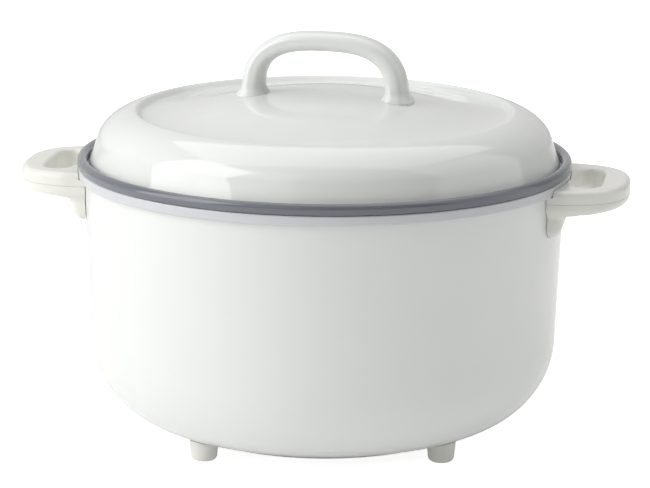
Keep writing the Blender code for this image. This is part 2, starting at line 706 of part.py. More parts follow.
def seam_boxes():
    """Make the two boxes that split a handle at its seam."""
    half_gap = GAP / 2
    reach = HANDLE_REACH + CUT_OVERRUN
    side = max(HANDLE_HALF_WIDTH, SADDLE_HALF_WIDTH) + CUT_OVERRUN
    lowest = SADDLE_BOTTOM_HEIGHT - CUT_OVERRUN
    highest = HANDLE_TOP_HEIGHT + CUT_OVERRUN
    above_low = (0.0, -side, HANDLE_SEAM_HEIGHT - half_gap)
    above = link_cutter("above_seam", box_mesh("above_seam", above_low, (reach, side, highest)))
    below_high = (reach, side, HANDLE_SEAM_HEIGHT + half_gap)
    below = link_cutter("below_seam", box_mesh("below_seam", (0.0, -side, lowest), below_high))
    return above, below


def saddle_block():
    """Make the rounded block that the loop grows out of."""
    inner_face = chord_depth(shell_radius(SADDLE_BOTTOM_HEIGHT), SADDLE_HALF_WIDTH) - CUT_OVERRUN
    low = (inner_face, -SADDLE_HALF_WIDTH, SADDLE_BOTTOM_HEIGHT)
    high = (SADDLE_FACE, SADDLE_HALF_WIDTH, HANDLE_TOP_HEIGHT - GAP)
    return link_cutter("saddle_block", box_mesh("saddle_block", low, high, SADDLE_ROUNDING))


def build_mount_screws():
    """Make the screws through bracket and shell into the handle, and the cutter for them."""
    inset = SHELL_WALL + BRACKET_THICKNESS + 2 * GAP
    seat_radius = shell_radius(MOUNT_SCREW_HEIGHT) - inset
    length = inset + GAP + MOUNT_SCREW_BITE
    places = [
        radial_place(seat_radius, turn, MOUNT_SCREW_HEIGHT)
        for turn in (-MOUNT_SCREW_TURN_DEGREES, MOUNT_SCREW_TURN_DEGREES)
    ]
    profile = pan_screw_profile(SCREW_HEAD_RADIUS, SCREW_HEAD_HEIGHT, SCREW_SHANK_RADIUS, length)
    screws = make_screws("right_handle_mount_screw", profile, places)
    hole = hole_profile(SCREW_SHANK_RADIUS + GAP, CUT_OVERRUN, length + GAP)
    return screws, link_cutter("mount_screw_holes", placed_copies(hole, places))


def build_joining_screws():
    """Make the screws that join the handle's halves from below, and the cutter for them."""
    seat_height = HANDLE_SEAM_HEIGHT - HANDLE_SECTION_RADIUS + JOINING_SCREW_RECESS
    place_along = SADDLE_FACE + JOINING_SCREW_SETBACK
    places = []
    for spread in (-HANDLE_ARM_SPREAD, HANDLE_ARM_SPREAD):
        spot = Matrix.Translation((place_along, spread, seat_height))
        places.append(spot @ Matrix.Rotation(HALF_TURN, 4, "X"))
    sizes = (SMALL_HEAD_RADIUS, SMALL_HEAD_HEIGHT, SMALL_SHANK_RADIUS, JOINING_SCREW_LENGTH)
    screws = make_screws("right_handle_joining_screw", pan_screw_profile(*sizes), places)
    head_room = SMALL_HEAD_RADIUS + GAP
    shank_room = SMALL_SHANK_RADIUS + GAP
    hole = [
        (0.0, HANDLE_SECTION_RADIUS),
        (head_room, HANDLE_SECTION_RADIUS),
        (head_room, -GAP),
        (shank_room, -GAP),
        (shank_room, -JOINING_SCREW_LENGTH - GAP),
        (0.0, -JOINING_SCREW_LENGTH - GAP),
    ]
    return screws, link_cutter("joining_screw_holes", placed_copies(hole, places))


def build_right_handle(envelope):
    """Make the right handle's pieces and return them with the cutter for the shell."""
    above, below = seam_boxes()
    block = saddle_block()
    mount_screws, mount_cutter = build_mount_screws()
    joining_screws, joining_cutter = build_joining_screws()
    pieces = mount_screws + joining_screws
    for name, unwanted in (("right_handle_upper", below), ("right_handle_lower", above)):
        half = link_part(name, loop_mesh(), HANDLE_PLASTIC)
        boolean(half, block, "UNION")
        boolean(half, unwanted)
        boolean(half, envelope)
        boolean(half, joining_cutter)
        boolean(half, mount_cutter)
        bake(half)
        smooth_round_faces(half.data)
        pieces.append(half)
    bracket = build_bracket()
    boolean(bracket, mount_cutter)
    bake(bracket)
    smooth_round_faces(bracket.data)
    pieces.append(bracket)
    return pieces, mount_cutter


def build_bracket():
    """Make the curved plate inside the shell that backs the handle's screws."""
    outer_inset = SHELL_WALL + GAP
    inner_inset = outer_inset + BRACKET_THICKNESS
    outer_top = shell_radius(BRACKET_TOP_HEIGHT)
    outer_bottom = shell_radius(BRACKET_BOTTOM_HEIGHT)
    profile = [
        (outer_top - outer_inset, BRACKET_TOP_HEIGHT),
        (outer_bottom - outer_inset, BRACKET_BOTTOM_HEIGHT),
        (outer_bottom - inner_inset, BRACKET_BOTTOM_HEIGHT),
        (outer_top - inner_inset, BRACKET_TOP_HEIGHT),
    ]
    bracket = turned_part("right_handle_bracket", profile, STEEL, closed=True)
    low = (0.0, -BRACKET_HALF_WIDTH, BRACKET_BOTTOM_HEIGHT - CUT_OVERRUN)
    high = (SHELL_TOP_RADIUS + CUT_OVERRUN, BRACKET_HALF_WIDTH, BRACKET_TOP_HEIGHT + CUT_OVERRUN)
    window = link_cutter("bracket_window", box_mesh("bracket_window", low, high))
    boolean(bracket, window, "INTERSECT")
    return bracket


def build_side_handles(shell, envelope):
    """Make the right handle and its twin on the left, and drill the shell for both."""
    pieces, mount_cutter = build_right_handle(envelope)
    boolean(shell, mount_cutter)
    left_cutter = link_cutter("left_mount_screw_holes", mount_cutter.data)
    left_cutter.rotation_euler.z = HALF_TURN
    boolean(shell, left_cutter)
    for piece in pieces:
        twin = bpy.data.objects.new(piece.name.replace("right", "left"), piece.data)
        twin.rotation_euler.z = HALF_TURN
        PARTS.objects.link(twin)


# Lid

def crown_line(radius, height):
    """Return the raised middle of the panel, from the axis out to its trough."""
    points = []
    for step in range(LID_CROWN_STEPS + 1):
        share = step / LID_CROWN_STEPS
        rise = LID_CROWN_RISE * (1 + math.cos(math.pi * share)) / 2
        points.append((radius * share, height + rise))
    return points


def lid_line(inset):
    """Return the lid's outline, inset from its outer face, from the axis to the lip."""
    panel_height = LID_PANEL_HEIGHT - inset
    panel_radius = LID_PANEL_RADIUS + inset
    ridge_radius = LID_PANEL_RADIUS + LID_RIDGE_WIDTH
    knee_radius = (panel_radius + ridge_radius) / 2
    points = crown_line(panel_radius, panel_height)
    points.append((knee_radius, panel_height + LID_RIDGE_HEIGHT * RIDGE_KNEE_SHARE))
    points.append((ridge_radius, panel_height + LID_RIDGE_HEIGHT))
    centre = (LID_SIDE_RADIUS - LID_SHOULDER_WIDTH, LID_SHOULDER_HEIGHT)
    width = LID_SHOULDER_WIDTH - inset
    rise = LID_SHOULDER_RISE - inset
    start = math.acos((ridge_radius + LID_RIDGE_EASE - centre[0]) / LID_SHOULDER_WIDTH)
    for step in range(LID_SHOULDER_STEPS + 1):
        angle = start * (1 - step / LID_SHOULDER_STEPS)
        points.append((centre[0] + width * math.cos(angle), centre[1] + rise * math.sin(angle)))
    lip_top = LID_LIP_BOTTOM + LID_SHEET - inset
    for step in range(LID_FLARE_STEPS + 1):
        angle = QUARTER_TURN * step / LID_FLARE_STEPS
        radius = LID_SIDE_RADIUS - inset + LID_FLARE * (1 - math.cos(angle))
        points.append((radius, lip_top + LID_FLARE_HEIGHT * (1 - math.sin(angle))))
    return points


def build_lid_shell():
    """Make the domed lid with its ridge, recessed panel and flared lip."""
    outside = lid_line(0.0)
    inside = lid_line(LID_SHEET)
    lip_end = [(LID_LIP_RADIUS, LID_LIP_BOTTOM)]
    return turned_part("lid_shell", outside + lip_end + inside[::-1], LID_ENAMEL)


def arch_stations():
    """Return the arch's middle line as places across, heights and growths, foot to foot."""
    rise = ARCH_HEIGHT - ARCH_THICKNESS / 2
    half = []
    for step in range(ARCH_CURVE_STEPS + 1):
        angle = QUARTER_TURN * step / ARCH_CURVE_STEPS
        share = math.sin(angle) ** (2 / ARCH_CURVE_POWER)
        across = ARCH_HALF_SPAN * math.cos(angle) ** (2 / ARCH_CURVE_POWER)
        half.append((across, rise * share, 1 + ARCH_FOOT_GROWTH * (1 - share)))
    for step in range(1, ARCH_FOOT_STEPS + 1):
        depth = ARCH_FOOT_DEPTH * step / ARCH_FOOT_STEPS
        half.insert(0, (ARCH_HALF_SPAN, -depth, 1 + ARCH_FOOT_GROWTH))
    return half + [(-across, height, growth) for across, height, growth in half[-2::-1]]


def arch_rings():
    """Return the rounded sections across the arch's middle line."""
    stations = arch_stations()
    last = len(stations) - 1
    rings = []
    for index, (across, height, growth) in enumerate(stations):
        before = stations[max(index - 1, 0)]
        after = stations[min(index + 1, last)]
        way = Vector((after[0] - before[0], after[1] - before[1])).normalized()
        spread = ARCH_FOOT_SPREAD * min(max(1 - height / ARCH_FOOT_RISE, 0.0), 1.0) ** 2
        thick = ARCH_THICKNESS / 2 * growth + spread
        wide = ARCH_WIDTH / 2 * growth + spread
        ring = []
        for step in range(ARCH_SECTION_STEPS):
            angle = FULL_TURN * (step + 0.5) / ARCH_SECTION_STEPS
            power = 2 / ARCH_SECTION_POWER
            out = thick * math.copysign(abs(math.cos(angle)) ** power, math.cos(angle))
            aside = wide * math.copysign(abs(math.sin(angle)) ** power, math.sin(angle))
            spot = (across + way.y * out, aside, ARCH_BASE_HEIGHT + height - way.x * out)
            ring.append(spot)
        rings.append(ring)
    return rings


def swept_mesh(name, rings):
    """Return the closed mesh between rings of equal length, both ends capped."""
    count = len(rings[0])
    last = (len(rings) - 1) * count
    faces = [tuple(range(count)), tuple(range(last, last + count))]
    for here in range(0, last, count):
        for spot in range(count):
            nearby = (spot + 1) % count
            faces.append((here + spot, here + nearby, here + count + nearby, here + count + spot))
    mesh = bpy.data.meshes.new(name)
    mesh.from_pydata([spot for ring in rings for spot in ring], [], faces)
    shape = bmesh.new()
    shape.from_mesh(mesh)
    bmesh.ops.triangulate(shape, faces=shape.faces)
    bmesh.ops.recalc_face_normals(shape, faces=shape.faces)
    shape.to_mesh(mesh)
    shape.free()
    return mesh


def build_lid_handle():
    """Make the arched bar and fit its feet to the crowned panel."""
    mesh = swept_mesh("lid_handle", arch_rings())
    mesh.transform(Matrix.Rotation(math.radians(ARCH_TURN_DEGREES), 4, "Z"))
    arch = link_part("lid_handle", mesh, LID_ENAMEL)
    low = LID_PANEL_HEIGHT - CUT_OVERRUN
    profile = crown_line(LID_PANEL_RADIUS, LID_PANEL_HEIGHT + GAP)
    profile += [(LID_PANEL_RADIUS, low), (0.0, low)]
    boolean(arch, turned_cutter("crown_cutter", profile))
    bake(arch)
    smooth_round_faces(arch.data)
    return arch


def build_pot():
    """Build every piece in order, from the shell outwards."""
    shell = build_outer_shell()
    envelope = build_shell_envelope()
    collar = build_collar()
    liner = build_liner()
    build_insulation()
    build_inner_pot()
    build_base_plate(shell)
    build_feet(shell, envelope)
    build_liner_screws(liner, collar)
    build_side_handles(shell, envelope)
    build_lid_shell()
    build_lid_handle()


build_pot()
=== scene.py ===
"""Looks of the insulated enamel cooking pot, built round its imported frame.

Metres, +Z up. Each sub-assembly is a class that makes its visible pieces and hangs them on
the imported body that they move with.
"""

import itertools
import logging
import math
from collections.abc import Callable
from dataclasses import dataclass
from enum import Enum

import bmesh
import bpy
import numpy as np
from mathutils import Matrix, Vector


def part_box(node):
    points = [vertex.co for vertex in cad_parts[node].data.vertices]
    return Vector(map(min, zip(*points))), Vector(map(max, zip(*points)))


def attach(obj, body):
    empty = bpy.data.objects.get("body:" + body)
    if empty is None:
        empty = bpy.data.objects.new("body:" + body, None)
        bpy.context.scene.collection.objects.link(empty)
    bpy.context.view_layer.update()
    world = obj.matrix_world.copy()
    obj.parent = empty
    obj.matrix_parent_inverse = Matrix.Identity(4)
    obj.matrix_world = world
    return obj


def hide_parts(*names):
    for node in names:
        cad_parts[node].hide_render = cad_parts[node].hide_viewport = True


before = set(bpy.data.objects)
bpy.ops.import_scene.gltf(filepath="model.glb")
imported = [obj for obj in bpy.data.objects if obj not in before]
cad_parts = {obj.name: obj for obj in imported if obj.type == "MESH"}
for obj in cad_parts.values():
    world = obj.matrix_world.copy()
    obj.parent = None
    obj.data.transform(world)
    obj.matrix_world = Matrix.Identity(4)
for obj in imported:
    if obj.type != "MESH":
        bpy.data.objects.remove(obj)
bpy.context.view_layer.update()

LOG = logging.getLogger("enamel_pot")

Point = tuple[float, float]
Colour = tuple[float, float, float]
Field = Callable[[np.ndarray], np.ndarray]

MM = 0.001
WIDE_SEGMENTS = 256
SMALL_SEGMENTS = 64
MERGE_DISTANCE = 1e-6
TINY = 1e-12
COLOUR_MIX_INPUTS = (0, 6, 7)
COLOUR_MIX_RESULT = 2
NET_PASSES = 12
NET_PULLS = 3
SLOPE_STEP = 0.01 * MM
SMOOTH_ANGLE = math.radians(32.0)


class Body(Enum):
    """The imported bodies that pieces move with."""

    SHELL = "shell"
    INNER_POT = "inner_pot"
    LID = "lid"


class Side(Enum):
    """The two sides of the pot, each with its turn about the pot's axis in degrees."""

    RIGHT = 0.0
    LEFT = 180.0


class Slot(Enum):
    """The record's material slots."""

    SHELL_ENAMEL = "white_enamel"
    LID_ENAMEL = "lid_enamel"
    POT_ENAMEL = "grey_enamel"
    COLLAR = "collar_plastic"
    HANDLE = "handle_plastic"
    BASE = "base_plastic"
    ALUMINIUM = "aluminium"
    WOOL = "glass_wool"
    STEEL = "steel"


# Outlines and meshes


def arc(centre: Point, radius: float, start: float, end: float, steps: int) -> list[Point]:
    """Return points on a circle.

    Args:
        centre: Radius and height of the circle's centre.
        radius: The circle's radius.
        start: First angle in degrees, 0 looking outward and 90 up.
        end: Last angle in degrees.
        steps: Number of chords.

    Returns:
        The points in order, both ends among them.
    """
    return oval(centre, radius, radius, start, end, steps)


def oval(
    centre: Point, width: float, rise: float, start: float, end: float, steps: int
) -> list[Point]:
    """Return points on an ellipse.

    Args:
        centre: Radius and height of the ellipse's centre.
        width: Half axis along the radius.
        rise: Half axis along the height.
        start: First angle in degrees.
        end: Last angle in degrees.
        steps: Number of chords.

    Returns:
        The points in order, both ends among them.
    """
    points = []
    for step in range(steps + 1):
        angle = math.radians(start + (end - start) * step / steps)
        across = centre[0] + width * math.cos(angle)
        points.append((across, centre[1] + rise * math.sin(angle)))
    return points


def eased(
    start: Point, start_slope: float, end: Point, end_slope: float, steps: int
) -> list[Point]:
    """Return a smooth curve between two points of an outline.

    Args:
        start: First point.
        start_slope: Rise over run at the first point.
        end: Last point.
        end_slope: Rise over run at the last point.
        steps: Number of chords.

    Returns:
        The points in order, both ends among them.
    """
    run = end[0] - start[0]
    points = []
    for step in range(steps + 1):
        t = step / steps
        rise = (2 * t**3 - 3 * t**2 + 1) * start[1] + (3 * t**2 - 2 * t**3) * end[1]
        rise += (t**3 - 2 * t**2 + t) * run * start_slope + (t**3 - t**2) * run * end_slope
        points.append((start[0] + run * t, rise))
    return points


def mesh_from(name: str, points: np.ndarray, faces: list) -> bpy.types.Mesh:
    """Return a mesh of the given points and faces, its normals looking outward.

    Args:
        name: Name of the mesh.
        points: Rows of x, y and z.
        faces: The points' numbers round each face.

    Returns:
        The mesh, with points that coincide merged.
    """
    mesh = bpy.data.meshes.new(name)
    mesh.from_pydata([tuple(p) for p in points], [], faces)
    shape = bmesh.new()
    shape.from_mesh(mesh)
    bmesh.ops.remove_doubles(shape, verts=shape.verts, dist=MERGE_DISTANCE)
    bmesh.ops.recalc_face_normals(shape, faces=shape.faces)
    shape.to_mesh(mesh)
    shape.free()
    return mesh


def turned(name: str, outline: list[Point], segments: int = WIDE_SEGMENTS) -> bpy.types.Mesh:
    """Return the solid that an outline sweeps as it turns about the Z axis.

    Args:
        name: Name of the mesh.
        outline: Closed outline, or an open one whose ends lie on the axis.
        segments: Number of steps round the axis.

    Returns:
        A closed mesh.
    """
    radii = np.array([p[0] for p in outline])
    heights = np.array([p[1] for p in outline])
    angles = np.linspace(0.0, 2 * math.pi, segments, endpoint=False)
    x = np.outer(np.cos(angles), radii)
    y = np.outer(np.sin(angles), radii)
    z = np.tile(heights, (segments, 1))
    points = np.stack([x, y, z], axis=-1).reshape(-1, 3)
    count = len(outline)
    faces = []
    for turn in range(segments):
        here = turn * count
        there = (turn + 1) % segments * count
        for spot in range(count):
            nearby = (spot + 1) % count
            on_axis = outline[spot][0] < MERGE_DISTANCE
            nearby_on_axis = outline[nearby][0] < MERGE_DISTANCE
            if on_axis and nearby_on_axis:
                continue
            if on_axis:
                faces.append((here + spot, there + nearby, here + nearby))
            elif nearby_on_axis:
                faces.append((here + spot, there + spot, here + nearby))
            else:
                faces.append((here + spot, there + spot, there + nearby, here + nearby))
    return mesh_from(name, points, faces)


def swept(name: str, rings: np.ndarray) -> bpy.types.Mesh:
    """Return the solid between closed rings of equal length, with both ends capped.

    Args:
        name: Name of the mesh.
        rings: Array of rings, points and coordinates.

    Returns:
        A closed mesh.
    """
    stations, count = rings.shape[:2]
    faces = [tuple(range(count)), tuple(range((stations - 1) * count, stations * count))]
    for station in range(stations - 1):
        here = station * count
        there = here + count
        for spot in range(count):
            nearby = (spot + 1) % count
            faces.append((here + spot, here + nearby, there + nearby, there + spot))
    return mesh_from(name, rings.reshape(-1, 3), faces)


def plain_box(
    name: str, low: tuple[float, ...], high: tuple[float, ...]
) -> bpy.types.Mesh:
    """Return a plain box for cutting, between two corners.

    Args:
        name: Name of the mesh.
        low: Its lowest corner.
        high: Its highest corner.

    Returns:
        A closed mesh.
    """
    corners = [Vector(c) for c in itertools.product(*zip(low, high))]
    faces = [(0, 1, 3, 2), (4, 6, 7, 5), (0, 4, 5, 1), (2, 3, 7, 6), (0, 2, 6, 4), (1, 5, 7, 3)]
    return mesh_from(name, np.array(corners), faces)


def cut(
    mesh: bpy.types.Mesh, cutter: bpy.types.Mesh, operation: str = "DIFFERENCE"
) -> bpy.types.Mesh:
    """Return a mesh cut by another with an exact Boolean.

    Args:
        mesh: The mesh to cut.
        cutter: The closed mesh that cuts it.
        operation: Which Boolean to use.

    Returns:
        A new mesh.
    """
    guides = [placed(m.name, m) for m in (mesh, cutter)]
    modifier = guides[0].modifiers.new("cut", "BOOLEAN")
    modifier.operation = operation
    modifier.solver = "EXACT"
    modifier.object = guides[1]
    seen = guides[0].evaluated_get(bpy.context.evaluated_depsgraph_get())
    result = bpy.data.meshes.new_from_object(seen)
    for guide in guides:
        bpy.data.objects.remove(guide, do_unlink=True)
    return result


def placed(name: str, data: bpy.types.ID) -> bpy.types.Object:
    """Put an object in the scene.

    Args:
        name: Name of the object.
        data: Its mesh, lamp or camera.

    Returns:
        The new object.
    """
    thing = bpy.data.objects.new(name, data)
    bpy.context.scene.collection.objects.link(thing)
    return thing


def show(
    name: str,
    mesh: bpy.types.Mesh,
    material: bpy.types.Material,
    body: Body,
    slot: Slot,
    *nodes: str,
    weighted: bool = True,
) -> bpy.types.Object:
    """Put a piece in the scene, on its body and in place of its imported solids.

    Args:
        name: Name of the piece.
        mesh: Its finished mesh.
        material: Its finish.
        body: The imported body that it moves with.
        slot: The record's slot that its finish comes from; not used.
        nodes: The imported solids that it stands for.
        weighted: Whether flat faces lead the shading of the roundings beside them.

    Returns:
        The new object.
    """
    piece = placed(name, mesh)
    mesh.materials.clear()
    mesh.materials.append(material)
    if weighted:
        mesh.shade_smooth()
        mesh.set_sharp_from_angle(angle=SMOOTH_ANGLE)
        shading = piece.modifiers.new("even_shading", "WEIGHTED_NORMAL")
        shading.keep_sharp = True
    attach(piece, body.value)
    if nodes:
        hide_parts(*nodes)
    LOG.info("%s: %d faces on %s", name, len(mesh.polygons), body.value)
    return piece


def dress(material: bpy.types.Material, *nodes: str) -> None:
    """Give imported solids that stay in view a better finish.

    Args:
        material: The finish.
        nodes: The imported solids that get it.
    """
    for node in nodes:
        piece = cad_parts[node]
        piece.data.materials.clear()
        piece.data.materials.append(material)
        LOG.info("%s: dressed in %s", node, material.name)


# Shared shader effects


class Effect:
    """A shader node group with named inputs and outputs."""

    def __init__(self, name: str) -> None:
        """Start an empty group.

        Args:
            name: The group's name.
        """
        self.tree = bpy.data.node_groups.new(name, "ShaderNodeTree")
        self.entry = self.tree.nodes.new("NodeGroupInput")
        self.exit = self.tree.nodes.new("NodeGroupOutput")

    def takes(self, name: str, kind: str = "NodeSocketFloat") -> bpy.types.NodeSocket:
        """Add an input and return its socket inside the group."""
        self.tree.interface.new_socket(name, in_out="INPUT", socket_type=kind)
        return self.entry.outputs[name]

    def gives(self, name: str, source: bpy.types.NodeSocket, kind: str = "NodeSocketFloat") -> None:
        """Add an output and feed it."""
        self.tree.interface.new_socket(name, in_out="OUTPUT", socket_type=kind)
        self.tree.links.new(source, self.exit.inputs[name])


def add_node(tree: bpy.types.NodeTree, kind: str, **settings: object) -> bpy.types.Node:
    """Add a shader node with its settings.

    Args:
        tree: The tree to build in.
        kind: The type of node.
        settings: Its own settings, such as its operation.

    Returns:
        The new node.
    """
    node = tree.nodes.new(kind)
    for name, value in settings.items():
        setattr(node, name, value)
    return node


def fill(tree: bpy.types.NodeTree, target: bpy.types.NodeSocket, source: object) -> None:
    """Fill one input, by link from a socket or by a plain value.

    Args:
        tree: The tree that holds the node.
        target: The input.
        source: What goes in, a socket or a value.
    """
    if isinstance(source, bpy.types.NodeSocket):
        tree.links.new(source, target)
    else:
        target.default_value = source


def feed(tree: bpy.types.NodeTree, node: bpy.types.Node, **sources: object) -> None:
    """Fill a node's inputs by name.

    Args:
        tree: The tree that holds the node.
        node: The node to fill.
        sources: Socket names, with _ for a space, and what goes in.
    """
    for name, source in sources.items():
        fill(tree, node.inputs[name.replace("_", " ")], source)


def math_node(
    tree: bpy.types.NodeTree, operation: str, first: object, second: object
) -> bpy.types.NodeSocket:
    """Join two values with a math node.

    Args:
        tree: The tree to build in.
        operation: What the node does with them.
        first: A number or a socket.
        second: A number or a socket.

    Returns:
        The result's socket.
    """
    node = add_node(tree, "ShaderNodeMath", operation=operation)
    for target, source in zip(node.inputs, (first, second)):
        fill(tree, target, source)
    return node.outputs[0]


def noise_node(
    tree: bpy.types.NodeTree, scale: object, detail: float, stretch: tuple = (1.0, 1.0, 1.0)
) -> bpy.types.NodeSocket:
    """Return smooth noise over the piece, about 0 to 1.

    Args:
        tree: The tree to build in.
        scale: Cells to the metre, a number or a socket.
        detail: How many finer layers it has.
        stretch: Factors along the three axes.

    Returns:
        The noise value's socket.
    """
    place = add_node(tree, "ShaderNodeTexCoord")
    mapping = add_node(tree, "ShaderNodeMapping")
    feed(tree, mapping, Vector=place.outputs["Object"], Scale=stretch)
    noise = add_node(tree, "ShaderNodeTexNoise")
    feed(tree, noise, Vector=mapping.outputs[0], Scale=scale, Detail=detail)
    return noise.outputs["Fac"]


def blend_node(
    tree: bpy.types.NodeTree, share: object, first: object, second: object
) -> bpy.types.NodeSocket:
    """Blend two colours.

    Args:
        tree: The tree to build in.
        share: Share of the second colour, a number or a socket.
        first: Colour at share 0.
        second: Colour at share 1.

    Returns:
        The blended colour's socket.
    """
    node = add_node(tree, "ShaderNodeMix", data_type="RGBA", clamp_factor=True)
    for index, source in zip(COLOUR_MIX_INPUTS, (share, first, second)):
        fill(tree, node.inputs[index], source)
    return node.outputs[COLOUR_MIX_RESULT]


def range_node(
    tree: bpy.types.NodeTree, value: object, from_low: float, from_high: float,
    to_low: object, to_high: object,
) -> bpy.types.NodeSocket:
    """Carry a value from one range to another and keep it inside.

    Args:
        tree: The tree to build in.
        value: A number or a socket.
        from_low: Value that becomes to_low.
        from_high: Value that becomes to_high.
        to_low: First end of the new range.
        to_high: Last end of the new range.

    Returns:
        The new value's socket.
    """
    node = add_node(tree, "ShaderNodeMapRange", clamp=True)
    sources = (value, from_low, from_high, to_low, to_high)
    for target, source in zip(node.inputs, sources):
        fill(tree, target, source)
    return node.outputs[0]


def fired_skin() -> bpy.types.NodeTree:
    """Build fired enamel: slow colour drift, orange peel and fine pinholes.

    Returns:
        The effect's tree.
    """
    effect = Effect("fired_skin")
    tree = effect.tree
    colour = effect.takes("Colour", "NodeSocketColor")
    drift_colour = effect.takes("Drift Colour", "NodeSocketColor")
    drift_scale = effect.takes("Drift Scale")
    peel_scale = effect.takes("Peel Scale")
    low_gloss = effect.takes("Low Roughness")
    high_gloss = effect.takes("High Roughness")
    drift = noise_node(tree, drift_scale, 3.0)
    share = range_node(tree, drift, 0.3, 0.7, 0.0, 1.0)
    pinholes = noise_node(tree, 900.0, 1.0)
    speck = range_node(tree, pinholes, 0.70, 0.78, 0.0, 0.35)
    drifted = blend_node(tree, share, colour, drift_colour)
    effect.gives("Colour", blend_node(tree, speck, drifted, drift_colour), "NodeSocketColor")
    effect.gives("Roughness", range_node(tree, drift, 0.35, 0.65, low_gloss, high_gloss))
    peel = noise_node(tree, peel_scale, 2.0)
    effect.gives("Height", peel)
    return tree


def moulded_grain() -> bpy.types.NodeTree:
    """Build moulded plastic: fine grain and a little handling shine.

    Returns:
        The effect's tree.
    """
    effect = Effect("moulded_grain")
    tree = effect.tree
    colour = effect.takes("Colour", "NodeSocketColor")
    drift_colour = effect.takes("Drift Colour", "NodeSocketColor")
    grain_scale = effect.takes("Grain Scale")
    low_gloss = effect.takes("Low Roughness")
    high_gloss = effect.takes("High Roughness")
    drift = noise_node(tree, 45.0, 2.0)
    share = range_node(tree, drift, 0.3, 0.7, 0.0, 1.0)
    effect.gives("Colour", blend_node(tree, share, colour, drift_colour), "NodeSocketColor")
    effect.gives("Roughness", range_node(tree, drift, 0.3, 0.7, low_gloss, high_gloss))
    effect.gives("Height", noise_node(tree, grain_scale, 2.0))
    return tree


def spun_lines() -> bpy.types.NodeTree:
    """Build worked metal: fine rings round the axis and soft stains.

    Returns:
        The effect's tree.
    """
    effect = Effect("spun_lines")
    tree = effect.tree
    colour = effect.takes("Colour", "NodeSocketColor")
    stain_colour = effect.takes("Stain Colour", "NodeSocketColor")
    line_scale = effect.takes("Line Scale")
    low_gloss = effect.takes("Low Roughness")
    high_gloss = effect.takes("High Roughness")
    lines = noise_node(tree, line_scale, 3.0, (0.04, 0.04, 1.0))
    stain = noise_node(tree, 60.0, 4.0)
    share = range_node(tree, stain, 0.45, 0.75, 0.0, 0.6)
    effect.gives("Colour", blend_node(tree, share, colour, stain_colour), "NodeSocketColor")
    effect.gives("Roughness", range_node(tree, lines, 0.3, 0.7, low_gloss, high_gloss))
    effect.gives("Height", lines)
    return tree


def worn_edges() -> bpy.types.NodeTree:
    """Build rubbed edges, and painted shade in concave hollows, as two masks.

    Returns:
        The effect's tree.
    """
    effect = Effect("worn_edges")
    tree = effect.tree
    amount = effect.takes("Amount")
    shape = add_node(tree, "ShaderNodeNewGeometry")
    breakup = range_node(tree, noise_node(tree, 300.0, 3.0), 0.35, 0.65, 0.3, 1.0)
    edge = range_node(tree, shape.outputs["Pointiness"], 0.52, 0.60, 0.0, 1.0)
    # Painted shade mask: picks concave hollows and creases, where the plastic is darkened to stand
    # in for shade.
    hollow_shade = range_node(tree, shape.outputs["Pointiness"], 0.49, 0.42, 0.0, 1.0)
    for name, mask in (("Edge", edge), ("Hollow", hollow_shade)):
        broken = math_node(tree, "MULTIPLY", mask, breakup)
        effect.gives(name, math_node(tree, "MULTIPLY", broken, amount))
    return tree


def wool_fibres() -> bpy.types.NodeTree:
    """Build matted glass fibres.

    Returns:
        The effect's tree.
    """
    effect = Effect("wool_fibres")
    tree = effect.tree
    colour = effect.takes("Colour", "NodeSocketColor")
    shade_colour = effect.takes("Shade Colour", "NodeSocketColor")
    fibres = noise_node(tree, 900.0, 5.0, (1.0, 1.0, 0.15))
    tufts = noise_node(tree, 120.0, 4.0)
    height = math_node(tree, "ADD", fibres, tufts)
    share = range_node(tree, height, 0.7, 1.3, 0.0, 1.0)
    effect.gives("Colour", blend_node(tree, share, shade_colour, colour), "NodeSocketColor")
    effect.gives("Height", height)
    return tree


EFFECTS = {
    maker.__name__: maker()
    for maker in (fired_skin, moulded_grain, spun_lines, worn_edges, wool_fibres)
}


# Finishes


def opaque(colour: Colour) -> tuple[float, float, float, float]:
    """Return a colour with its alpha."""
    return (*colour, 1.0)


def start_material(name: str) -> tuple[bpy.types.NodeTree, bpy.types.Node]:
    """Start a material.

    Args:
        name: The material's name.

    Returns:
        Its tree and its Principled shader.
    """
    material = bpy.data.materials.new(name)
    material.use_nodes = True
    return material.node_tree, material.node_tree.nodes["Principled BSDF"]


def finish(look: "Finish") -> bpy.types.Material:
    """Return a finish's material, made only once."""
    known = bpy.data.materials.get(look.name)
    return known or look.material()


def place_effect(tree: bpy.types.NodeTree, effect: str, **values: object) -> bpy.types.Node:
    """Put a shared effect in a material with its own values.

    Args:
        tree: The material's tree.
        effect: Name of the effect.
        values: What goes into the effect's inputs, with _ for a space.

    Returns:
        The group's node.
    """
    group = add_node(tree, "ShaderNodeGroup", node_tree=EFFECTS[effect])
    feed(tree, group, **values)
    return group


def add_bump(
    tree: bpy.types.NodeTree, shader: bpy.types.Node, height: bpy.types.NodeSocket, depth: float
) -> None:
    """Raise a shader's surface by a height.

    Args:
        tree: The material's tree.
        shader: The shader to raise.
        height: Socket of the height.
        depth: What a height of 1 stands for, in metres.
    """
    bump = add_node(tree, "ShaderNodeBump")
    feed(tree, bump, Height=height, Strength=1.0, Distance=depth)
    tree.links.new(bump.outputs[0], shader.inputs["Normal"])


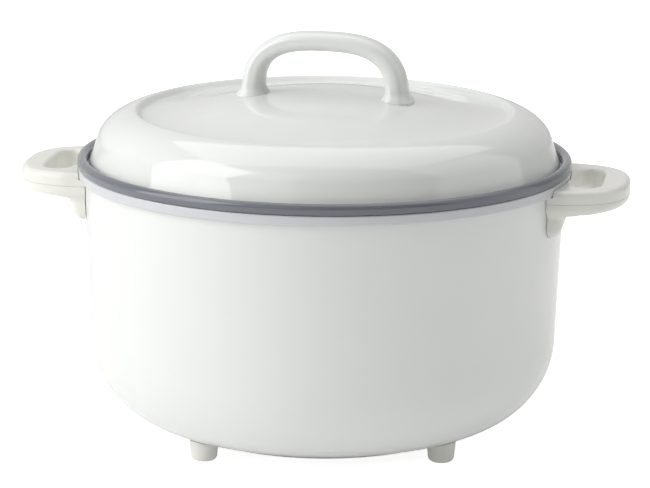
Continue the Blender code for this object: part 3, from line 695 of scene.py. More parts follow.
@dataclass(frozen=True)
class Enamel:
    """A fired glass coat over steel."""

    name: str
    colour: Colour
    drift_colour: Colour
    chip_colour: Colour
    low_roughness: float
    high_roughness: float
    peel_depth: float
    peel_scale: float = 160.0
    drift_scale: float = 14.0
    chip_amount: float = 0.0
    coat: float = 0.3

    def material(self) -> bpy.types.Material:
        """Build this enamel.

        Returns:
            The finished material.
        """
        tree, shader = start_material(self.name)
        skin = place_effect(
            tree, "fired_skin",
            Colour=opaque(self.colour), Drift_Colour=opaque(self.drift_colour),
            Drift_Scale=self.drift_scale, Peel_Scale=self.peel_scale,
            Low_Roughness=self.low_roughness, High_Roughness=self.high_roughness,
        )
        wear_and_shade_masks = place_effect(tree, "worn_edges", Amount=self.chip_amount)
        coloured = blend_node(
            tree, wear_and_shade_masks.outputs["Edge"], skin.outputs["Colour"], opaque(self.chip_colour)
        )
        feed(tree, shader, Base_Color=coloured, Roughness=skin.outputs["Roughness"], IOR=1.52)
        feed(tree, shader, Coat_Weight=self.coat, Coat_Roughness=0.03)
        add_bump(tree, shader, skin.outputs["Height"], self.peel_depth)
        return bpy.data.materials[self.name]


@dataclass(frozen=True)
class Plastic:
    """A moulded plastic."""

    name: str
    colour: Colour
    drift_colour: Colour
    # Painted shade: the darker colour that concave hollows and creases are blended to.
    hollow_shade_colour: Colour
    low_roughness: float
    high_roughness: float
    grain_depth: float
    grain_scale: float = 1500.0
    # Strength of the painted shade in concave hollows.
    hollow_shade_amount: float = 0.25

    def material(self) -> bpy.types.Material:
        """Build this plastic.

        Returns:
            The finished material.
        """
        tree, shader = start_material(self.name)
        grain = place_effect(
            tree, "moulded_grain",
            Colour=opaque(self.colour), Drift_Colour=opaque(self.drift_colour),
            Grain_Scale=self.grain_scale,
            Low_Roughness=self.low_roughness, High_Roughness=self.high_roughness,
        )
        # Painted shade: concave hollows and creases are blended towards the darker hollow colour.
        wear_and_shade_masks = place_effect(tree, "worn_edges", Amount=self.hollow_shade_amount)
        coloured = blend_node(
            tree, wear_and_shade_masks.outputs["Hollow"], grain.outputs["Colour"], opaque(self.hollow_shade_colour)
        )
        feed(tree, shader, Base_Color=coloured, Roughness=grain.outputs["Roughness"], IOR=1.49)
        add_bump(tree, shader, grain.outputs["Height"], self.grain_depth)
        return bpy.data.materials[self.name]


@dataclass(frozen=True)
class Metal:
    """A bare metal with the marks of its making."""

    name: str
    colour: Colour
    stain_colour: Colour
    rubbed_colour: Colour
    low_roughness: float
    high_roughness: float
    line_depth: float
    line_scale: float = 2500.0

    def material(self) -> bpy.types.Material:
        """Build this metal.

        Returns:
            The finished material.
        """
        tree, shader = start_material(self.name)
        lines = place_effect(
            tree, "spun_lines",
            Colour=opaque(self.colour), Stain_Colour=opaque(self.stain_colour),
            Line_Scale=self.line_scale,
            Low_Roughness=self.low_roughness, High_Roughness=self.high_roughness,
        )
        wear_and_shade_masks = place_effect(tree, "worn_edges", Amount=0.6)
        coloured = blend_node(
            tree, wear_and_shade_masks.outputs["Edge"], lines.outputs["Colour"], opaque(self.rubbed_colour)
        )
        feed(tree, shader, Base_Color=coloured, Roughness=lines.outputs["Roughness"], Metallic=1.0)
        add_bump(tree, shader, lines.outputs["Height"], self.line_depth)
        return bpy.data.materials[self.name]


@dataclass(frozen=True)
class Wool:
    """A matted mineral wool."""

    name: str
    colour: Colour
    shade_colour: Colour
    depth: float

    def material(self) -> bpy.types.Material:
        """Build this wool.

        Returns:
            The finished material.
        """
        tree, shader = start_material(self.name)
        fibres = place_effect(
            tree, "wool_fibres", Colour=opaque(self.colour), Shade_Colour=opaque(self.shade_colour)
        )
        feed(tree, shader, Base_Color=fibres.outputs["Colour"], Roughness=0.95)
        feed(tree, shader, Sheen_Weight=0.4)
        add_bump(tree, shader, fibres.outputs["Height"], self.depth)
        return bpy.data.materials[self.name]


Finish = Enamel | Plastic | Metal | Wool

SHELL_ENAMEL = Enamel(
    "white_enamel_coat", (0.785, 0.80, 0.775), (0.77, 0.785, 0.76), (0.20, 0.20, 0.21),
    0.10, 0.14, 0.00002,
)
LID_ENAMEL = Enamel(
    "white_lid_enamel_coat", (0.785, 0.80, 0.775), (0.77, 0.785, 0.76), (0.20, 0.20, 0.21),
    0.05, 0.08, 0.000008,
)
POT_ENAMEL = Enamel(
    "grey_enamel_coat", (0.155, 0.165, 0.19), (0.14, 0.15, 0.172), (0.05, 0.05, 0.055),
    0.12, 0.18, 0.00002, peel_scale=220.0,
)
# The third colour of each plastic is painted shade for its concave hollows and creases.
COLLAR_PLASTIC = Plastic(
    "pale_collar_plastic", (0.605, 0.622, 0.642), (0.59, 0.607, 0.627), (0.40, 0.40, 0.43),
    0.16, 0.22, 0.000006,
)
HANDLE_PLASTIC = Plastic(
    "white_handle_plastic", (0.80, 0.795, 0.745), (0.785, 0.78, 0.73), (0.60, 0.59, 0.55),
    0.15, 0.21, 0.000006,
)
BASE_PLASTIC = Plastic(
    "grey_base_plastic", (0.50, 0.50, 0.49), (0.47, 0.47, 0.46), (0.35, 0.35, 0.33),
    0.45, 0.55, 0.00002, grain_scale=900.0,
)
ALUMINIUM = Metal(
    "spun_aluminium", (0.80, 0.81, 0.82), (0.70, 0.71, 0.72), (0.90, 0.90, 0.91),
    0.25, 0.40, 0.00001,
)
STEEL = Metal(
    "zinc_plated_steel", (0.62, 0.63, 0.65), (0.50, 0.50, 0.49), (0.78, 0.78, 0.79),
    0.25, 0.38, 0.000005,
)
WOOL = Wool("glass_wool_mat", (0.83, 0.78, 0.52), (0.62, 0.55, 0.30), 0.0006)


# Sizes that neighbouring pieces share


@dataclass(frozen=True)
class PotSizes:
    """Driving sizes of the pot, in metres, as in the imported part."""

    gap: float = 0.3 * MM
    sheet: float = 1.2 * MM
    shell_base: float = 8.0 * MM
    shell_top: float = 142.4 * MM
    shell_top_radius: float = 126.8 * MM
    shell_low_radius: float = 123.2 * MM
    shell_corner: float = 46.0 * MM
    shell_opening: float = 55.0 * MM
    collar_bottom: float = 139.2 * MM
    collar_top: float = 144.5 * MM
    collar_radius: float = 129.8 * MM
    collar_skirt: float = 127.4 * MM
    collar_plate: float = 1.8 * MM
    spigot_outer: float = 122.7 * MM
    spigot_inner: float = 116.4 * MM
    spigot_bottom: float = 133.0 * MM
    bead_radius: float = 2.7 * MM
    bead_centre: Point = (127.5 * MM, 147.5 * MM)
    seat_bottom: float = 144.8 * MM
    seat_top: float = 146.0 * MM
    pot_outer: float = 112.4 * MM
    pot_wall: float = 1.5 * MM
    pot_bottom: float = 26.0 * MM
    pot_corner: float = 32.0 * MM
    envelope_overrun: float = 4.0 * MM

    def corner_centre(self) -> Point:
        """Return the centre of the shell's bottom corner."""
        radius = self.shell_low_radius - self.shell_corner
        return (radius, self.shell_base + self.shell_corner)

    def shell_radius(self, height: float) -> float:
        """Return the shell's outer radius on its tapered wall.

        Args:
            height: Height over the table.

        Returns:
            The radius there.
        """
        low = self.corner_centre()[1]
        share = (height - low) / (self.collar_bottom - low)
        return self.shell_low_radius + share * (self.shell_top_radius - self.shell_low_radius)

    def shell_line(self, inset: float, top: float, steps: int = 28) -> list[Point]:
        """Return the shell's outline, inset from its face, from its top to its floor."""
        corner = arc(self.corner_centre(), self.shell_corner - inset, 0.0, -90.0, steps)
        return [(self.shell_radius(top) - inset, top)] + corner

    def envelope(self) -> bpy.types.Mesh:
        """Return the space that the shell and collar take from the feet and handles.

        Returns:
            A closed mesh, a gap wider than the shell and collar.
        """
        reach = self.collar_radius + self.gap
        floor = self.collar_bottom - self.gap
        top = self.collar_top + self.envelope_overrun
        outline = [(0.0, top), (reach, top), (reach, floor)]
        outline += self.shell_line(-self.gap, floor)
        outline.append((0.0, self.shell_base - self.gap))
        return turned("shell_envelope", outline)


SIZES = PotSizes()


# Sub-assemblies


@dataclass
class Vessel:
    """The outer shell with its collar, liner and insulation."""

    collar_rounding: float = 0.9 * MM
    liner_inner: float = 113.2 * MM
    liner_wall: float = 0.7 * MM
    liner_corner: float = 32.8 * MM
    liner_floor: float = 22.3 * MM
    liner_flange_top: float = 132.7 * MM
    liner_flange: float = 0.8 * MM
    wrap_inner: float = 114.2 * MM
    wrap_outer: float = 119.2 * MM
    wrap_bottom: float = 56.0 * MM
    wrap_top: float = 128.9 * MM
    pad_radius: float = 59.0 * MM
    pad_bottom: float = 9.5 * MM
    pad_top: float = 22.0 * MM
    pad_rounding: float = 1.5 * MM
    wool_steps: int = 16

    def build(self) -> None:
        """Make the vessel's pieces."""
        self.build_shell()
        self.build_collar()
        self.build_liner()
        self.build_wool()

    def build_shell(self) -> None:
        """Make the enamelled drum with its opening in the floor."""
        outside = SIZES.shell_line(0.0, SIZES.shell_top)
        inside = SIZES.shell_line(SIZES.sheet, SIZES.shell_top)
        rim = SIZES.shell_opening
        edge = arc((rim, SIZES.shell_base + SIZES.sheet / 2), SIZES.sheet / 2, 270.0, 90.0, 6)
        mesh = turned("outer_shell_skin", outside + edge + inside[::-1])
        show(
            "outer_shell_skin", mesh, finish(SHELL_ENAMEL),
            Body.SHELL, Slot.SHELL_ENAMEL, "outer_shell",
        )

    def build_collar(self) -> None:
        """Make the ring that caps the shell."""
        top = SIZES.collar_top
        bottom = SIZES.collar_bottom
        soft = self.collar_rounding
        centre = SIZES.collar_radius - soft
        plate = top - SIZES.collar_plate
        outline = [(SIZES.spigot_inner, top)]
        outline += arc((centre, top - soft), soft, 90.0, 0.0, 6)
        outline += arc((centre, bottom + soft), soft, 0.0, -90.0, 6)
        outline += [
            (SIZES.collar_skirt, bottom),
            (SIZES.collar_skirt, plate),
            (SIZES.spigot_outer, plate),
            (SIZES.spigot_outer, SIZES.spigot_bottom),
            (SIZES.spigot_inner, SIZES.spigot_bottom),
        ]
        mesh = turned("collar_ring_band", outline)
        show(
            "collar_ring_band", mesh, finish(COLLAR_PLASTIC),
            Body.SHELL, Slot.COLLAR, "collar_ring",
        )

    def build_liner(self) -> None:
        """Make the fixed aluminium bowl."""
        flange_top = self.liner_flange_top
        outer = self.liner_inner + self.liner_wall
        floor = self.liner_floor + self.liner_wall
        corner = (self.liner_inner - self.liner_corner, floor + self.liner_corner)
        inside = arc(corner, self.liner_corner, 0.0, -90.0, 20)
        outside = arc(corner, self.liner_corner + self.liner_wall, 0.0, -90.0, 20)
        flange = SIZES.spigot_outer
        outline = [(self.liner_inner, flange_top)] + inside
        outline += [(0.0, floor), (0.0, self.liner_floor)]
        outline += outside[::-1]
        outline += [
            (outer, flange_top - self.liner_flange),
            (flange, flange_top - self.liner_flange),
            (flange, flange_top),
        ]
        mesh = turned("inner_liner_bowl", outline)
        show(
            "inner_liner_bowl", mesh, finish(ALUMINIUM),
            Body.SHELL, Slot.ALUMINIUM, "inner_liner",
        )

    def build_wool(self) -> None:
        """Make the matted wrap and pad between liner and shell."""
        wool = finish(WOOL)
        soft = self.pad_rounding
        steps = self.wool_steps
        inner = self.wrap_inner
        outer = self.wrap_outer
        rise = self.wrap_top - self.wrap_bottom
        wrap = [(inner, self.wrap_bottom + rise * s / steps) for s in range(steps + 1)]
        wrap += [(outer, height) for _, height in wrap[::-1]]
        pad = [(0.0, self.pad_top)]
        pad += [(self.pad_radius * s / steps, self.pad_top) for s in range(1, steps)]
        pad += arc((self.pad_radius - soft, self.pad_top - soft), soft, 90.0, 0.0, 3)
        pad += arc((self.pad_radius - soft, self.pad_bottom + soft), soft, 0.0, -90.0, 3)
        pad += [(self.pad_radius * s / steps, self.pad_bottom) for s in range(steps - 1, -1, -1)]
        for name, outline, node in (
            ("wool_wrap", wrap, "insulation_wrap"),
            ("wool_pad", pad, "insulation_pad"),
        ):
            mesh = turned(name, outline)
            show(name, mesh, wool, Body.SHELL, Slot.WOOL, node)


@dataclass
class InnerPot:
    """The removable bowl with its rolled rim."""

    rim_rounding: float = 0.6 * MM
    mouth_rounding: float = 2.0 * MM

    def build(self) -> None:
        """Make the bowl."""
        wall = SIZES.pot_wall
        floor = SIZES.pot_bottom + wall
        inner = SIZES.pot_outer - wall
        corner = (SIZES.pot_outer - SIZES.pot_corner, SIZES.pot_bottom + SIZES.pot_corner)
        meets = 180.0 + math.degrees(
            math.asin((SIZES.bead_centre[1] - SIZES.seat_top) / SIZES.bead_radius)
        )
        outline = [(0.0, floor)]
        outline += arc(corner, SIZES.pot_corner - wall, -90.0, 0.0, 20)
        mouth = self.mouth_rounding
        outline += arc((inner + mouth, SIZES.seat_top - mouth), mouth, 180.0, 90.0, 6)
        outline += arc(SIZES.bead_centre, SIZES.bead_radius, meets, 0.0, 28)
        soft = self.rim_rounding
        edge = SIZES.bead_centre[0] + SIZES.bead_radius - soft
        outline += arc((edge, SIZES.seat_bottom + soft), soft, 0.0, -90.0, 6)
        outline.append((SIZES.pot_outer, SIZES.seat_bottom))
        outline += arc(corner, SIZES.pot_corner, 0.0, -90.0, 20)
        outline.append((0.0, SIZES.pot_bottom))
        mesh = turned("inner_pot_bowl", outline)
        show(
            "inner_pot_bowl", mesh, finish(POT_ENAMEL),
            Body.INNER_POT, Slot.POT_ENAMEL, "inner_pot",
        )


@dataclass
class Lid:
    """The domed lid with its arched handle."""

    lip_radius: float = 123.9 * MM
    lip_bottom: float = 146.3 * MM
    skirt_height: float = 1.2 * MM
    skirt_angle: float = 11.0
    side_radius: float = 120.3 * MM
    shoulder_height: float = 155.7 * MM
    shoulder_width: float = 29.1 * MM
    shoulder_rise: float = 19.2 * MM
    panel_height: float = 171.0 * MM
    panel_radius: float = 95.5 * MM
    crown_rise: float = 11.0 * MM
    crown_power: float = 1.56
    ridge_radius: float = 99.8 * MM
    ridge_height: float = 2.9 * MM
    ridge_ease: float = 2.0 * MM
    arch_turn: float = -5.5
    arch_half_span: float = 38.8 * MM
    arch_base: float = 180.4 * MM
    arch_height: float = 34.6 * MM
    arch_thickness: float = 10.2 * MM
    arch_width: float = 15.2 * MM
    arch_power: float = 2.8
    section_power: float = 2.6
    foot_growth: float = 0.20
    foot_spread: float = 2.8 * MM
    foot_rise: float = 6.0 * MM
    foot_depth: float = 6.0 * MM
    foot_power: float = 2.5
    foot_side_share: float = 0.6
    skirt_power: float = 1.15
    weld_gap: float = 0.05 * MM
    weld_overrun: float = 4.0 * MM
    ring_points: int = 32

    def build(self) -> None:
        """Make the lid's sheet and handle."""
        enamel = finish(LID_ENAMEL)
        outside = self.line(0.0)
        inside = self.line(SIZES.sheet)
        lip = [(self.lip_radius, self.lip_bottom)]
        mesh = turned("lid_dome", outside + lip + inside[::-1])
        show("lid_dome", mesh, enamel, Body.LID, Slot.LID_ENAMEL, "lid_shell")
        arch = swept("lid_arch", self.arch_rings())
        arch.transform(Matrix.Rotation(math.radians(self.arch_turn), 4, "Z"))
        low = self.panel_height - self.weld_overrun
        crown = self.crown(self.panel_radius, self.panel_height + self.weld_gap)
        floor = turned("crown_floor", crown + [(self.panel_radius, low), (0.0, low)])
        arch = cut(arch, floor)
        show("lid_arch", arch, enamel, Body.LID, Slot.LID_ENAMEL, "lid_handle")

    def crown(self, radius: float, height: float) -> list[Point]:
        """Return the panel's raised middle, from the axis out to the trough.

        Args:
            radius: Radius of the trough.
            height: Height of the trough.

        Returns:
            Points of radius and height.
        """
        steps = 40
        points = []
        for step in range(steps + 1):
            share = step / steps
            rise = self.crown_rise * (1 + math.cos(math.pi * share**self.crown_power)) / 2
            points.append((radius * share, height + rise))
        return points

    def line(self, inset: float) -> list[Point]:
        """Return the lid's outline, inset from its outer face, from the axis to the lip.

        Args:
            inset: How far inside the outer face it runs.

        Returns:
            Points of radius and height.
        """
        panel = self.panel_height - inset
        trough = self.panel_radius + inset
        crest = (self.ridge_radius, panel + self.ridge_height)
        centre = (self.side_radius - self.shoulder_width, self.shoulder_height)
        width = self.shoulder_width - inset
        rise = self.shoulder_rise - inset
        start = math.acos((self.ridge_radius + self.ridge_ease - centre[0]) / width)
        shoulder = oval(centre, width, rise, math.degrees(start), self.skirt_angle, 40)
        slope = -rise / width / math.tan(start)
        points = self.crown(trough, panel)
        points += eased(points[-1], 0.0, crest, 0.0, 14)[1:]
        points += eased(crest, 0.0, shoulder[0], slope, 6)[1:]
        points += shoulder[1:]
        foot = (self.lip_radius - inset, self.lip_bottom + self.skirt_height - inset)
        last = shoulder[-1]
        steps = 8
        for step in range(1, steps + 1):
            share = step / steps
            radius = last[0] + (foot[0] - last[0]) * share**self.skirt_power
            points.append((radius, last[1] + (foot[1] - last[1]) * share))
        return points

    def arch_stations(self) -> list[tuple[float, float, float]]:
        """Return the arch's middle line from foot to foot.

        Returns:
            Place across, height over the base and growth of the section, at each station.
        """
        rise = self.arch_height - self.arch_thickness / 2
        steps = 40
        root_steps = 8
        half = []
        for step in range(steps + 1):
            angle = math.pi / 2 * step / steps
            share = math.sin(angle) ** (2 / self.arch_power)
            across = self.arch_half_span * math.cos(angle) ** (2 / self.arch_power)
            half.append((across, rise * share, 1 + self.foot_growth * (1 - share)))
        for step in range(1, root_steps + 1):
            depth = self.foot_depth * step / root_steps
            half.insert(0, (self.arch_half_span, -depth, 1 + self.foot_growth))
        return half + [(-across, height, growth) for across, height, growth in half[-2::-1]]

    def arch_rings(self) -> np.ndarray:
        """Return the arch's rounded sections from foot to foot.

        Returns:
            Array of rings, points and coordinates.
        """
        stations = np.array(self.arch_stations())
        ways = np.gradient(stations[:, :2], axis=0)
        ways /= np.linalg.norm(ways, axis=1, keepdims=True)
        angles = np.arange(self.ring_points) * math.tau / self.ring_points
        power = 2 / self.section_power
        out = np.sign(np.cos(angles)) * np.abs(np.cos(angles)) ** power
        aside = np.sign(np.sin(angles)) * np.abs(np.sin(angles)) ** power
        rings = []
        for (across, height, growth), way in zip(stations, ways):
            near_foot = min(max(1 - height / self.foot_rise, 0.0), 1.0)
            spread = self.foot_spread * near_foot**self.foot_power
            thick = (self.arch_thickness / 2 * growth + spread) * out
            spread *= self.foot_side_share
            wide = (self.arch_width / 2 * growth + spread) * aside
            heights = self.arch_base + height - way[0] * thick
            rings.append(np.stack([across + way[1] * thick, wide, heights], axis=-1))
        return np.array(rings)


@dataclass
class SideHandles:
    """The two moulded side handles, each of an upper and a lower half."""

    half_section: float = 7.0 * MM
    outer_centre: float = 128.2 * MM
    outer_reach: float = 32.95 * MM
    outer_spread: float = 38.0 * MM
    outer_power: float = 2.5
    opening_centre: float = 130.0 * MM
    opening_reach: float = 17.1 * MM
    opening_spread: float = 26.2 * MM
    opening_power: float = 4.6
    seam: float = 135.3 * MM
    seam_gap: float = 0.14 * MM
    seam_drop: float = 6.2 * MM
    seam_inset: float = 3.5 * MM
    tip_rise: float = 0.40
    face: float = 130.3 * MM
    face_sweep: float = 4.6 * MM
    half_width: float = 36.2 * MM
    bottom: float = 115.95 * MM
    corner: float = 6.5 * MM
    face_rounding: float = 4.6 * MM
    inner_top_rounding: float = 2.2 * MM
    outer_top_rounding: float = 3.0 * MM
    low_rounding: float = 3.4 * MM
    taper_start: float = 129.0 * MM
    taper_slope: float = 0.24
    fillet: float = 8.0 * MM
    low_fillet: float = 2.5 * MM
    grid: float = 0.85 * MM
    screw_head: float = 1.6 * MM
    recess_spare: float = 0.3 * MM
    overrun: float = 5.0 * MM
    inner_end: float = 112.0 * MM
    sweep_power: float = 1.5
    rise_share: float = 0.7
    block_low: float = 100.0 * MM
    block_high: float = 160.0 * MM
    block_reach: float = 180.0 * MM
    block_half_width: float = 60.0 * MM
    skirt_top: float = 170.0 * MM
    net_spare: float = 2.0 * MM
    net_half_width: float = 43.0 * MM
    on_field: float = 0.03 * MM
    least_facing: float = 0.6

    def build(self) -> None:
        """Make the four halves, with their brackets and screws dressed."""
        plastic = finish(HANDLE_PLASTIC)
        steel = finish(STEEL)
        body = self.body()
        envelope = SIZES.envelope()
        for level, unwanted in (("upper", self.split_below()), ("lower", self.split_above())):
            half = cut(cut(body, unwanted), envelope)
            if level == "lower":
                for number in (1, 2):
                    half = cut(half, self.recess(number))
            for side in Side:
                mesh = half.copy()
                self.shade(mesh)
                mesh.transform(Matrix.Rotation(math.radians(side.value), 4, "Z"))
                name = f"{side.name.lower()}_handle_{level}"
                show(
                    f"{name}_moulding", mesh, plastic,
                    Body.SHELL, Slot.HANDLE, name, weighted=False,
                )
        for side in Side:
            name = side.name.lower()
            dress(steel, f"{name}_handle_bracket")
            for number in (1, 2):
                dress(
                    steel,
                    f"{name}_handle_joining_screw_{number}",
                    f"{name}_handle_mount_screw_{number}",
                )

    def recess(self, number: int) -> bpy.types.Mesh:
        """Return the room under the head of a right-hand joining screw.

        Args:
            number: The screw's number.

        Returns:
            A closed upright cylinder.
        """
        low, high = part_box(f"right_handle_joining_screw_{number}")
        radius = (high.x - low.x) / 2 + self.recess_spare
        top = low.z + self.screw_head
        floor = self.bottom - self.overrun
        outline = [(0.0, top), (radius, top), (radius, floor), (0.0, floor)]
        mesh = turned("screw_recess", outline, SMALL_SEGMENTS)
        mesh.transform(Matrix.Translation(((low.x + high.x) / 2, (low.y + high.y) / 2, 0.0)))
        return mesh

    def field(self, points: np.ndarray) -> np.ndarray:
        """Return how far points lie outside the handle, negative inside.

        Args:
            points: Rows of x, y and z, with the handle along +X.

        Returns:
            One distance for each row, exact near the faces.
        """
        x, y, z = points.T
        outer = self.outer_wall(x, y)
        opening = self.opening_wall(x, y)
        middle = (outer + opening) / 2
        tip = self.outer_centre + self.outer_reach
        along = np.clip((x - self.face) / (tip - self.face), 0.0, 1.0)
        loop_floor = self.seam - self.half_section * (1.0 - self.tip_rise * along)
        loop = round_max(np.maximum(outer, -opening), loop_floor - z, self.low_rounding)
        rise = self.rise_share * self.half_section
        rising = smooth_step((z - (self.seam - self.half_section)) / rise)
        aside = np.minimum(np.abs(y) / self.opening_spread, 1.0)
        sweep = self.face_sweep * aside**self.sweep_power
        face = self.face + sweep * rising
        face = face - self.taper_slope * np.maximum(self.taper_start - z, 0.0)
        sides = round_max(np.abs(y) - self.half_width, self.bottom - z, self.corner)
        saddle = round_max(sides, x - face, self.face_rounding)
        union = smooth_min(loop, saddle, self.low_fillet + (self.fillet - self.low_fillet) * rising)
        outward = smooth_step(0.5 + middle / self.half_section)
        rounding = self.inner_top_rounding
        rounding = rounding + (self.outer_top_rounding - self.inner_top_rounding) * outward
        top = self.seam + self.half_section
        return np.maximum(round_max(union, z - top, rounding), self.inner_end - x)

    def outer_wall(self, x: np.ndarray, y: np.ndarray) -> np.ndarray:
        """Measure from the loop's outer wall, in plan.

        Args:
            x: Distances from the pot's axis along the handle.
            y: Distances beside its middle.

        Returns:
            How far the points lie outside the wall.
        """
        return beyond_oval(
            x - self.outer_centre, y, self.outer_reach, self.outer_spread, self.outer_power
        )

    def opening_wall(self, x: np.ndarray, y: np.ndarray) -> np.ndarray:
        """Measure from the wall of the loop's opening, in plan.

        Args:
            x: Distances from the pot's axis along the handle.
            y: Distances beside its middle.

        Returns:
            How far the points lie outside the opening.
        """
        return beyond_oval(
            x - self.opening_centre, y,
            self.opening_reach, self.opening_spread, self.opening_power,
        )

    def split_below(self) -> bpy.types.Mesh:
        """Return what lies under the seam, without the upper half's inner skirt.

        Returns:
            A closed mesh that the upper half loses.
        """
        top = self.seam + self.seam_gap / 2
        low = (0.0, -self.block_half_width, self.block_low)
        block = plain_box("below_seam", low, (self.block_reach, self.block_half_width, top))
        return cut(block, self.skirt(self.seam_inset, self.seam - self.seam_drop))

    def split_above(self) -> bpy.types.Mesh:
        """Return what lies over the seam, with the upper half's inner skirt.

        Returns:
            A closed mesh that the lower half loses.
        """
        low = (0.0, -self.block_half_width, self.seam - self.seam_gap / 2)
        high = (self.block_reach, self.block_half_width, self.block_high)
        block = plain_box("above_seam", low, high)
        gap = self.seam_gap
        skirt = self.skirt(self.seam_inset + gap, self.seam - self.seam_drop - gap)
        return cut(block, skirt, "UNION")

    def skirt(self, spare: float, low: float) -> bpy.types.Mesh:
        """Return the opening's own shape as an upright block.

        Args:
            spare: How far it stands out of the opening all round.
            low: Height of its underside.

        Returns:
            A closed mesh that reaches over the handle's top.
        """
        power = 2 / self.opening_power
        reach = self.opening_reach + spare
        spread = self.opening_spread + spare
        steps = 48
        ring = [(0.0, -spread)]
        for step in range(steps + 1):
            angle = math.pi * (step / steps - 0.5)
            along = self.opening_centre + reach * max(math.cos(angle), 0.0) ** power
            ring.append((along, math.copysign(spread * abs(math.sin(angle)) ** power, angle)))
        ring.append((0.0, spread))
        rings = [[(x, y, z) for x, y in ring] for z in (low, self.skirt_top)]
        return swept("handle_skirt", np.array(rings))

    def body(self) -> bpy.types.Mesh:
        """Return the whole handle before it is split and fitted to the shell.

        Returns:
            A closed mesh on the field's zero surface.
        """
        spare = self.net_spare
        tip = self.outer_centre + self.outer_reach
        top = self.seam + self.half_section
        low = (self.inner_end - spare, -self.net_half_width, self.bottom - spare)
        high = (tip + spare, self.net_half_width, top + spare)
        points, faces = surface_net(self.field, low, high, self.grid)
        return mesh_from("handle_body", points, faces)

    def shade(self, mesh: bpy.types.Mesh) -> None:
        """Shade a half by the field's own normals where its faces lie on the field.

        Args:
            mesh: The half, still along +X.
        """
        mesh.shade_smooth()
        mesh.set_sharp_from_angle(angle=SMOOTH_ANGLE)
        count = len(mesh.vertices)
        places = np.empty(count * 3)
        mesh.vertices.foreach_get("co", places)
        places = places.reshape(-1, 3)
        slopes = slope_of(self.field, places)
        on_field = np.abs(self.field(places)) < self.on_field
        normals = []
        for face in mesh.polygons:
            for corner in face.vertices:
                slope = slopes[corner]
                if on_field[corner] and slope @ np.array(face.normal) > self.least_facing:
                    normals.append(tuple(slope))
                else:
                    normals.append((0.0, 0.0, 0.0))
        mesh.normals_split_custom_set(normals)


def beyond_oval(
    x: np.ndarray, y: np.ndarray, reach: float, spread: float, power: float
) -> np.ndarray:
    """Return the distance outside a squared oval whose straight sides run on towards -X.

    Args:
        x: Distances from the oval's centre along its reach.
        y: Distances beside its middle.
        reach: Half axis towards +X.
        spread: Half axis across.
        power: 2 for a true ellipse, more for squarer corners.

    Returns:
        Distances in plan, negative inside, right to first order.
    """
    ahead = np.maximum(x, 0.0) / reach
    beside = np.maximum(np.abs(y), MERGE_DISTANCE) / spread
    level = (ahead**power + beside**power) ** (1 / power)
    steepness = np.hypot(ahead ** (power - 1) / reach, beside ** (power - 1) / spread)
    return (level - 1) * level ** (power - 1) / steepness


def round_max(first: np.ndarray, second: np.ndarray, radius: object) -> np.ndarray:
    """Return the overlap of two fields, its edge rounded by a radius."""
    corner = np.hypot(np.maximum(first + radius, 0.0), np.maximum(second + radius, 0.0))
    return np.minimum(np.maximum(first, second), -radius) + corner


def smooth_min(first: np.ndarray, second: np.ndarray, reach: object) -> np.ndarray:
    """Return the union of two fields, filleted over a reach."""
    share = np.maximum(reach - np.abs(first - second), 0.0) / reach
    return np.minimum(first, second) - share**2 * reach / 4


def smooth_step(value: np.ndarray) -> np.ndarray:
    """Return a soft step from 0 to 1."""
    inside = np.clip(value, 0.0, 1.0)
    return inside * inside * (3 - 2 * inside)


def slope_of(field: Field, points: np.ndarray) -> np.ndarray:
    """Return a field's unit slopes.

    Args:
        field: Distance outside the shape at rows of points.
        points: Rows of x, y and z.

    Returns:
        One row for each point.
    """
    steps = SLOPE_STEP * np.eye(3)
    slopes = np.stack([field(points + step) - field(points - step) for step in steps], axis=-1)
    length = np.linalg.norm(slopes, axis=1, keepdims=True)
    return slopes / np.maximum(length, TINY)


def surface_net(
    field: Field, low: tuple[float, ...], high: tuple[float, ...], step: float
) -> tuple[np.ndarray, list]:
    """Return an even mesh on a field's zero surface.

    Args:
        field: Distance outside the shape at rows of points.
        low: Lowest corner of the space to search.
        high: Highest corner of it.
        step: Size of the grid's cells.

    Returns:
        The mesh's points and its four-sided faces.
    """
    axes = [np.arange(a, b + step, step) for a, b in zip(low, high)]
    grid = np.stack(np.meshgrid(*axes, indexing="ij"), axis=-1)
    inside = (field(grid.reshape(-1, 3)) < 0.0).reshape(grid.shape[:3])
    within = [slice(0, -1), slice(1, None)]
    filled = sum(inside[corner].astype(int) for corner in itertools.product(within, repeat=3))
    crossed = (filled > 0) & (filled < 8)
    index = np.full(crossed.shape, -1)
    index[crossed] = np.arange(crossed.sum())
    points = grid[:-1, :-1, :-1][crossed] + step / 2
    quads = []
    for axis in range(3):
        order = (axis, (axis + 1) % 3, (axis + 2) % 3)
        filling = inside.transpose(order)
        cells = index.transpose(order)
        here = filling[:-1, 1:-1, 1:-1]
        there = filling[1:, 1:-1, 1:-1]
        ring = np.stack(
            [cells[:, :-1, :-1], cells[:, 1:, :-1], cells[:, 1:, 1:], cells[:, :-1, 1:]], axis=-1
        )
        quads.append(ring[here & ~there])
        quads.append(ring[there & ~here][:, ::-1])
    faces = np.concatenate(quads)
    edges = np.concatenate([faces[:, [a, (a + 1) % 4]] for a in range(4)])
    for _ in range(NET_PASSES):
        total = np.zeros_like(points)
        count = np.zeros((len(points), 1))
        np.add.at(total, edges[:, 0], points[edges[:, 1]])
        np.add.at(count, edges[:, 0], 1.0)
        points = 0.5 * points + 0.5 * total / np.maximum(count, 1.0)
        for _ in range(NET_PULLS):
            points = points - field(points)[:, None] * slope_of(field, points)
    return points, faces.tolist()


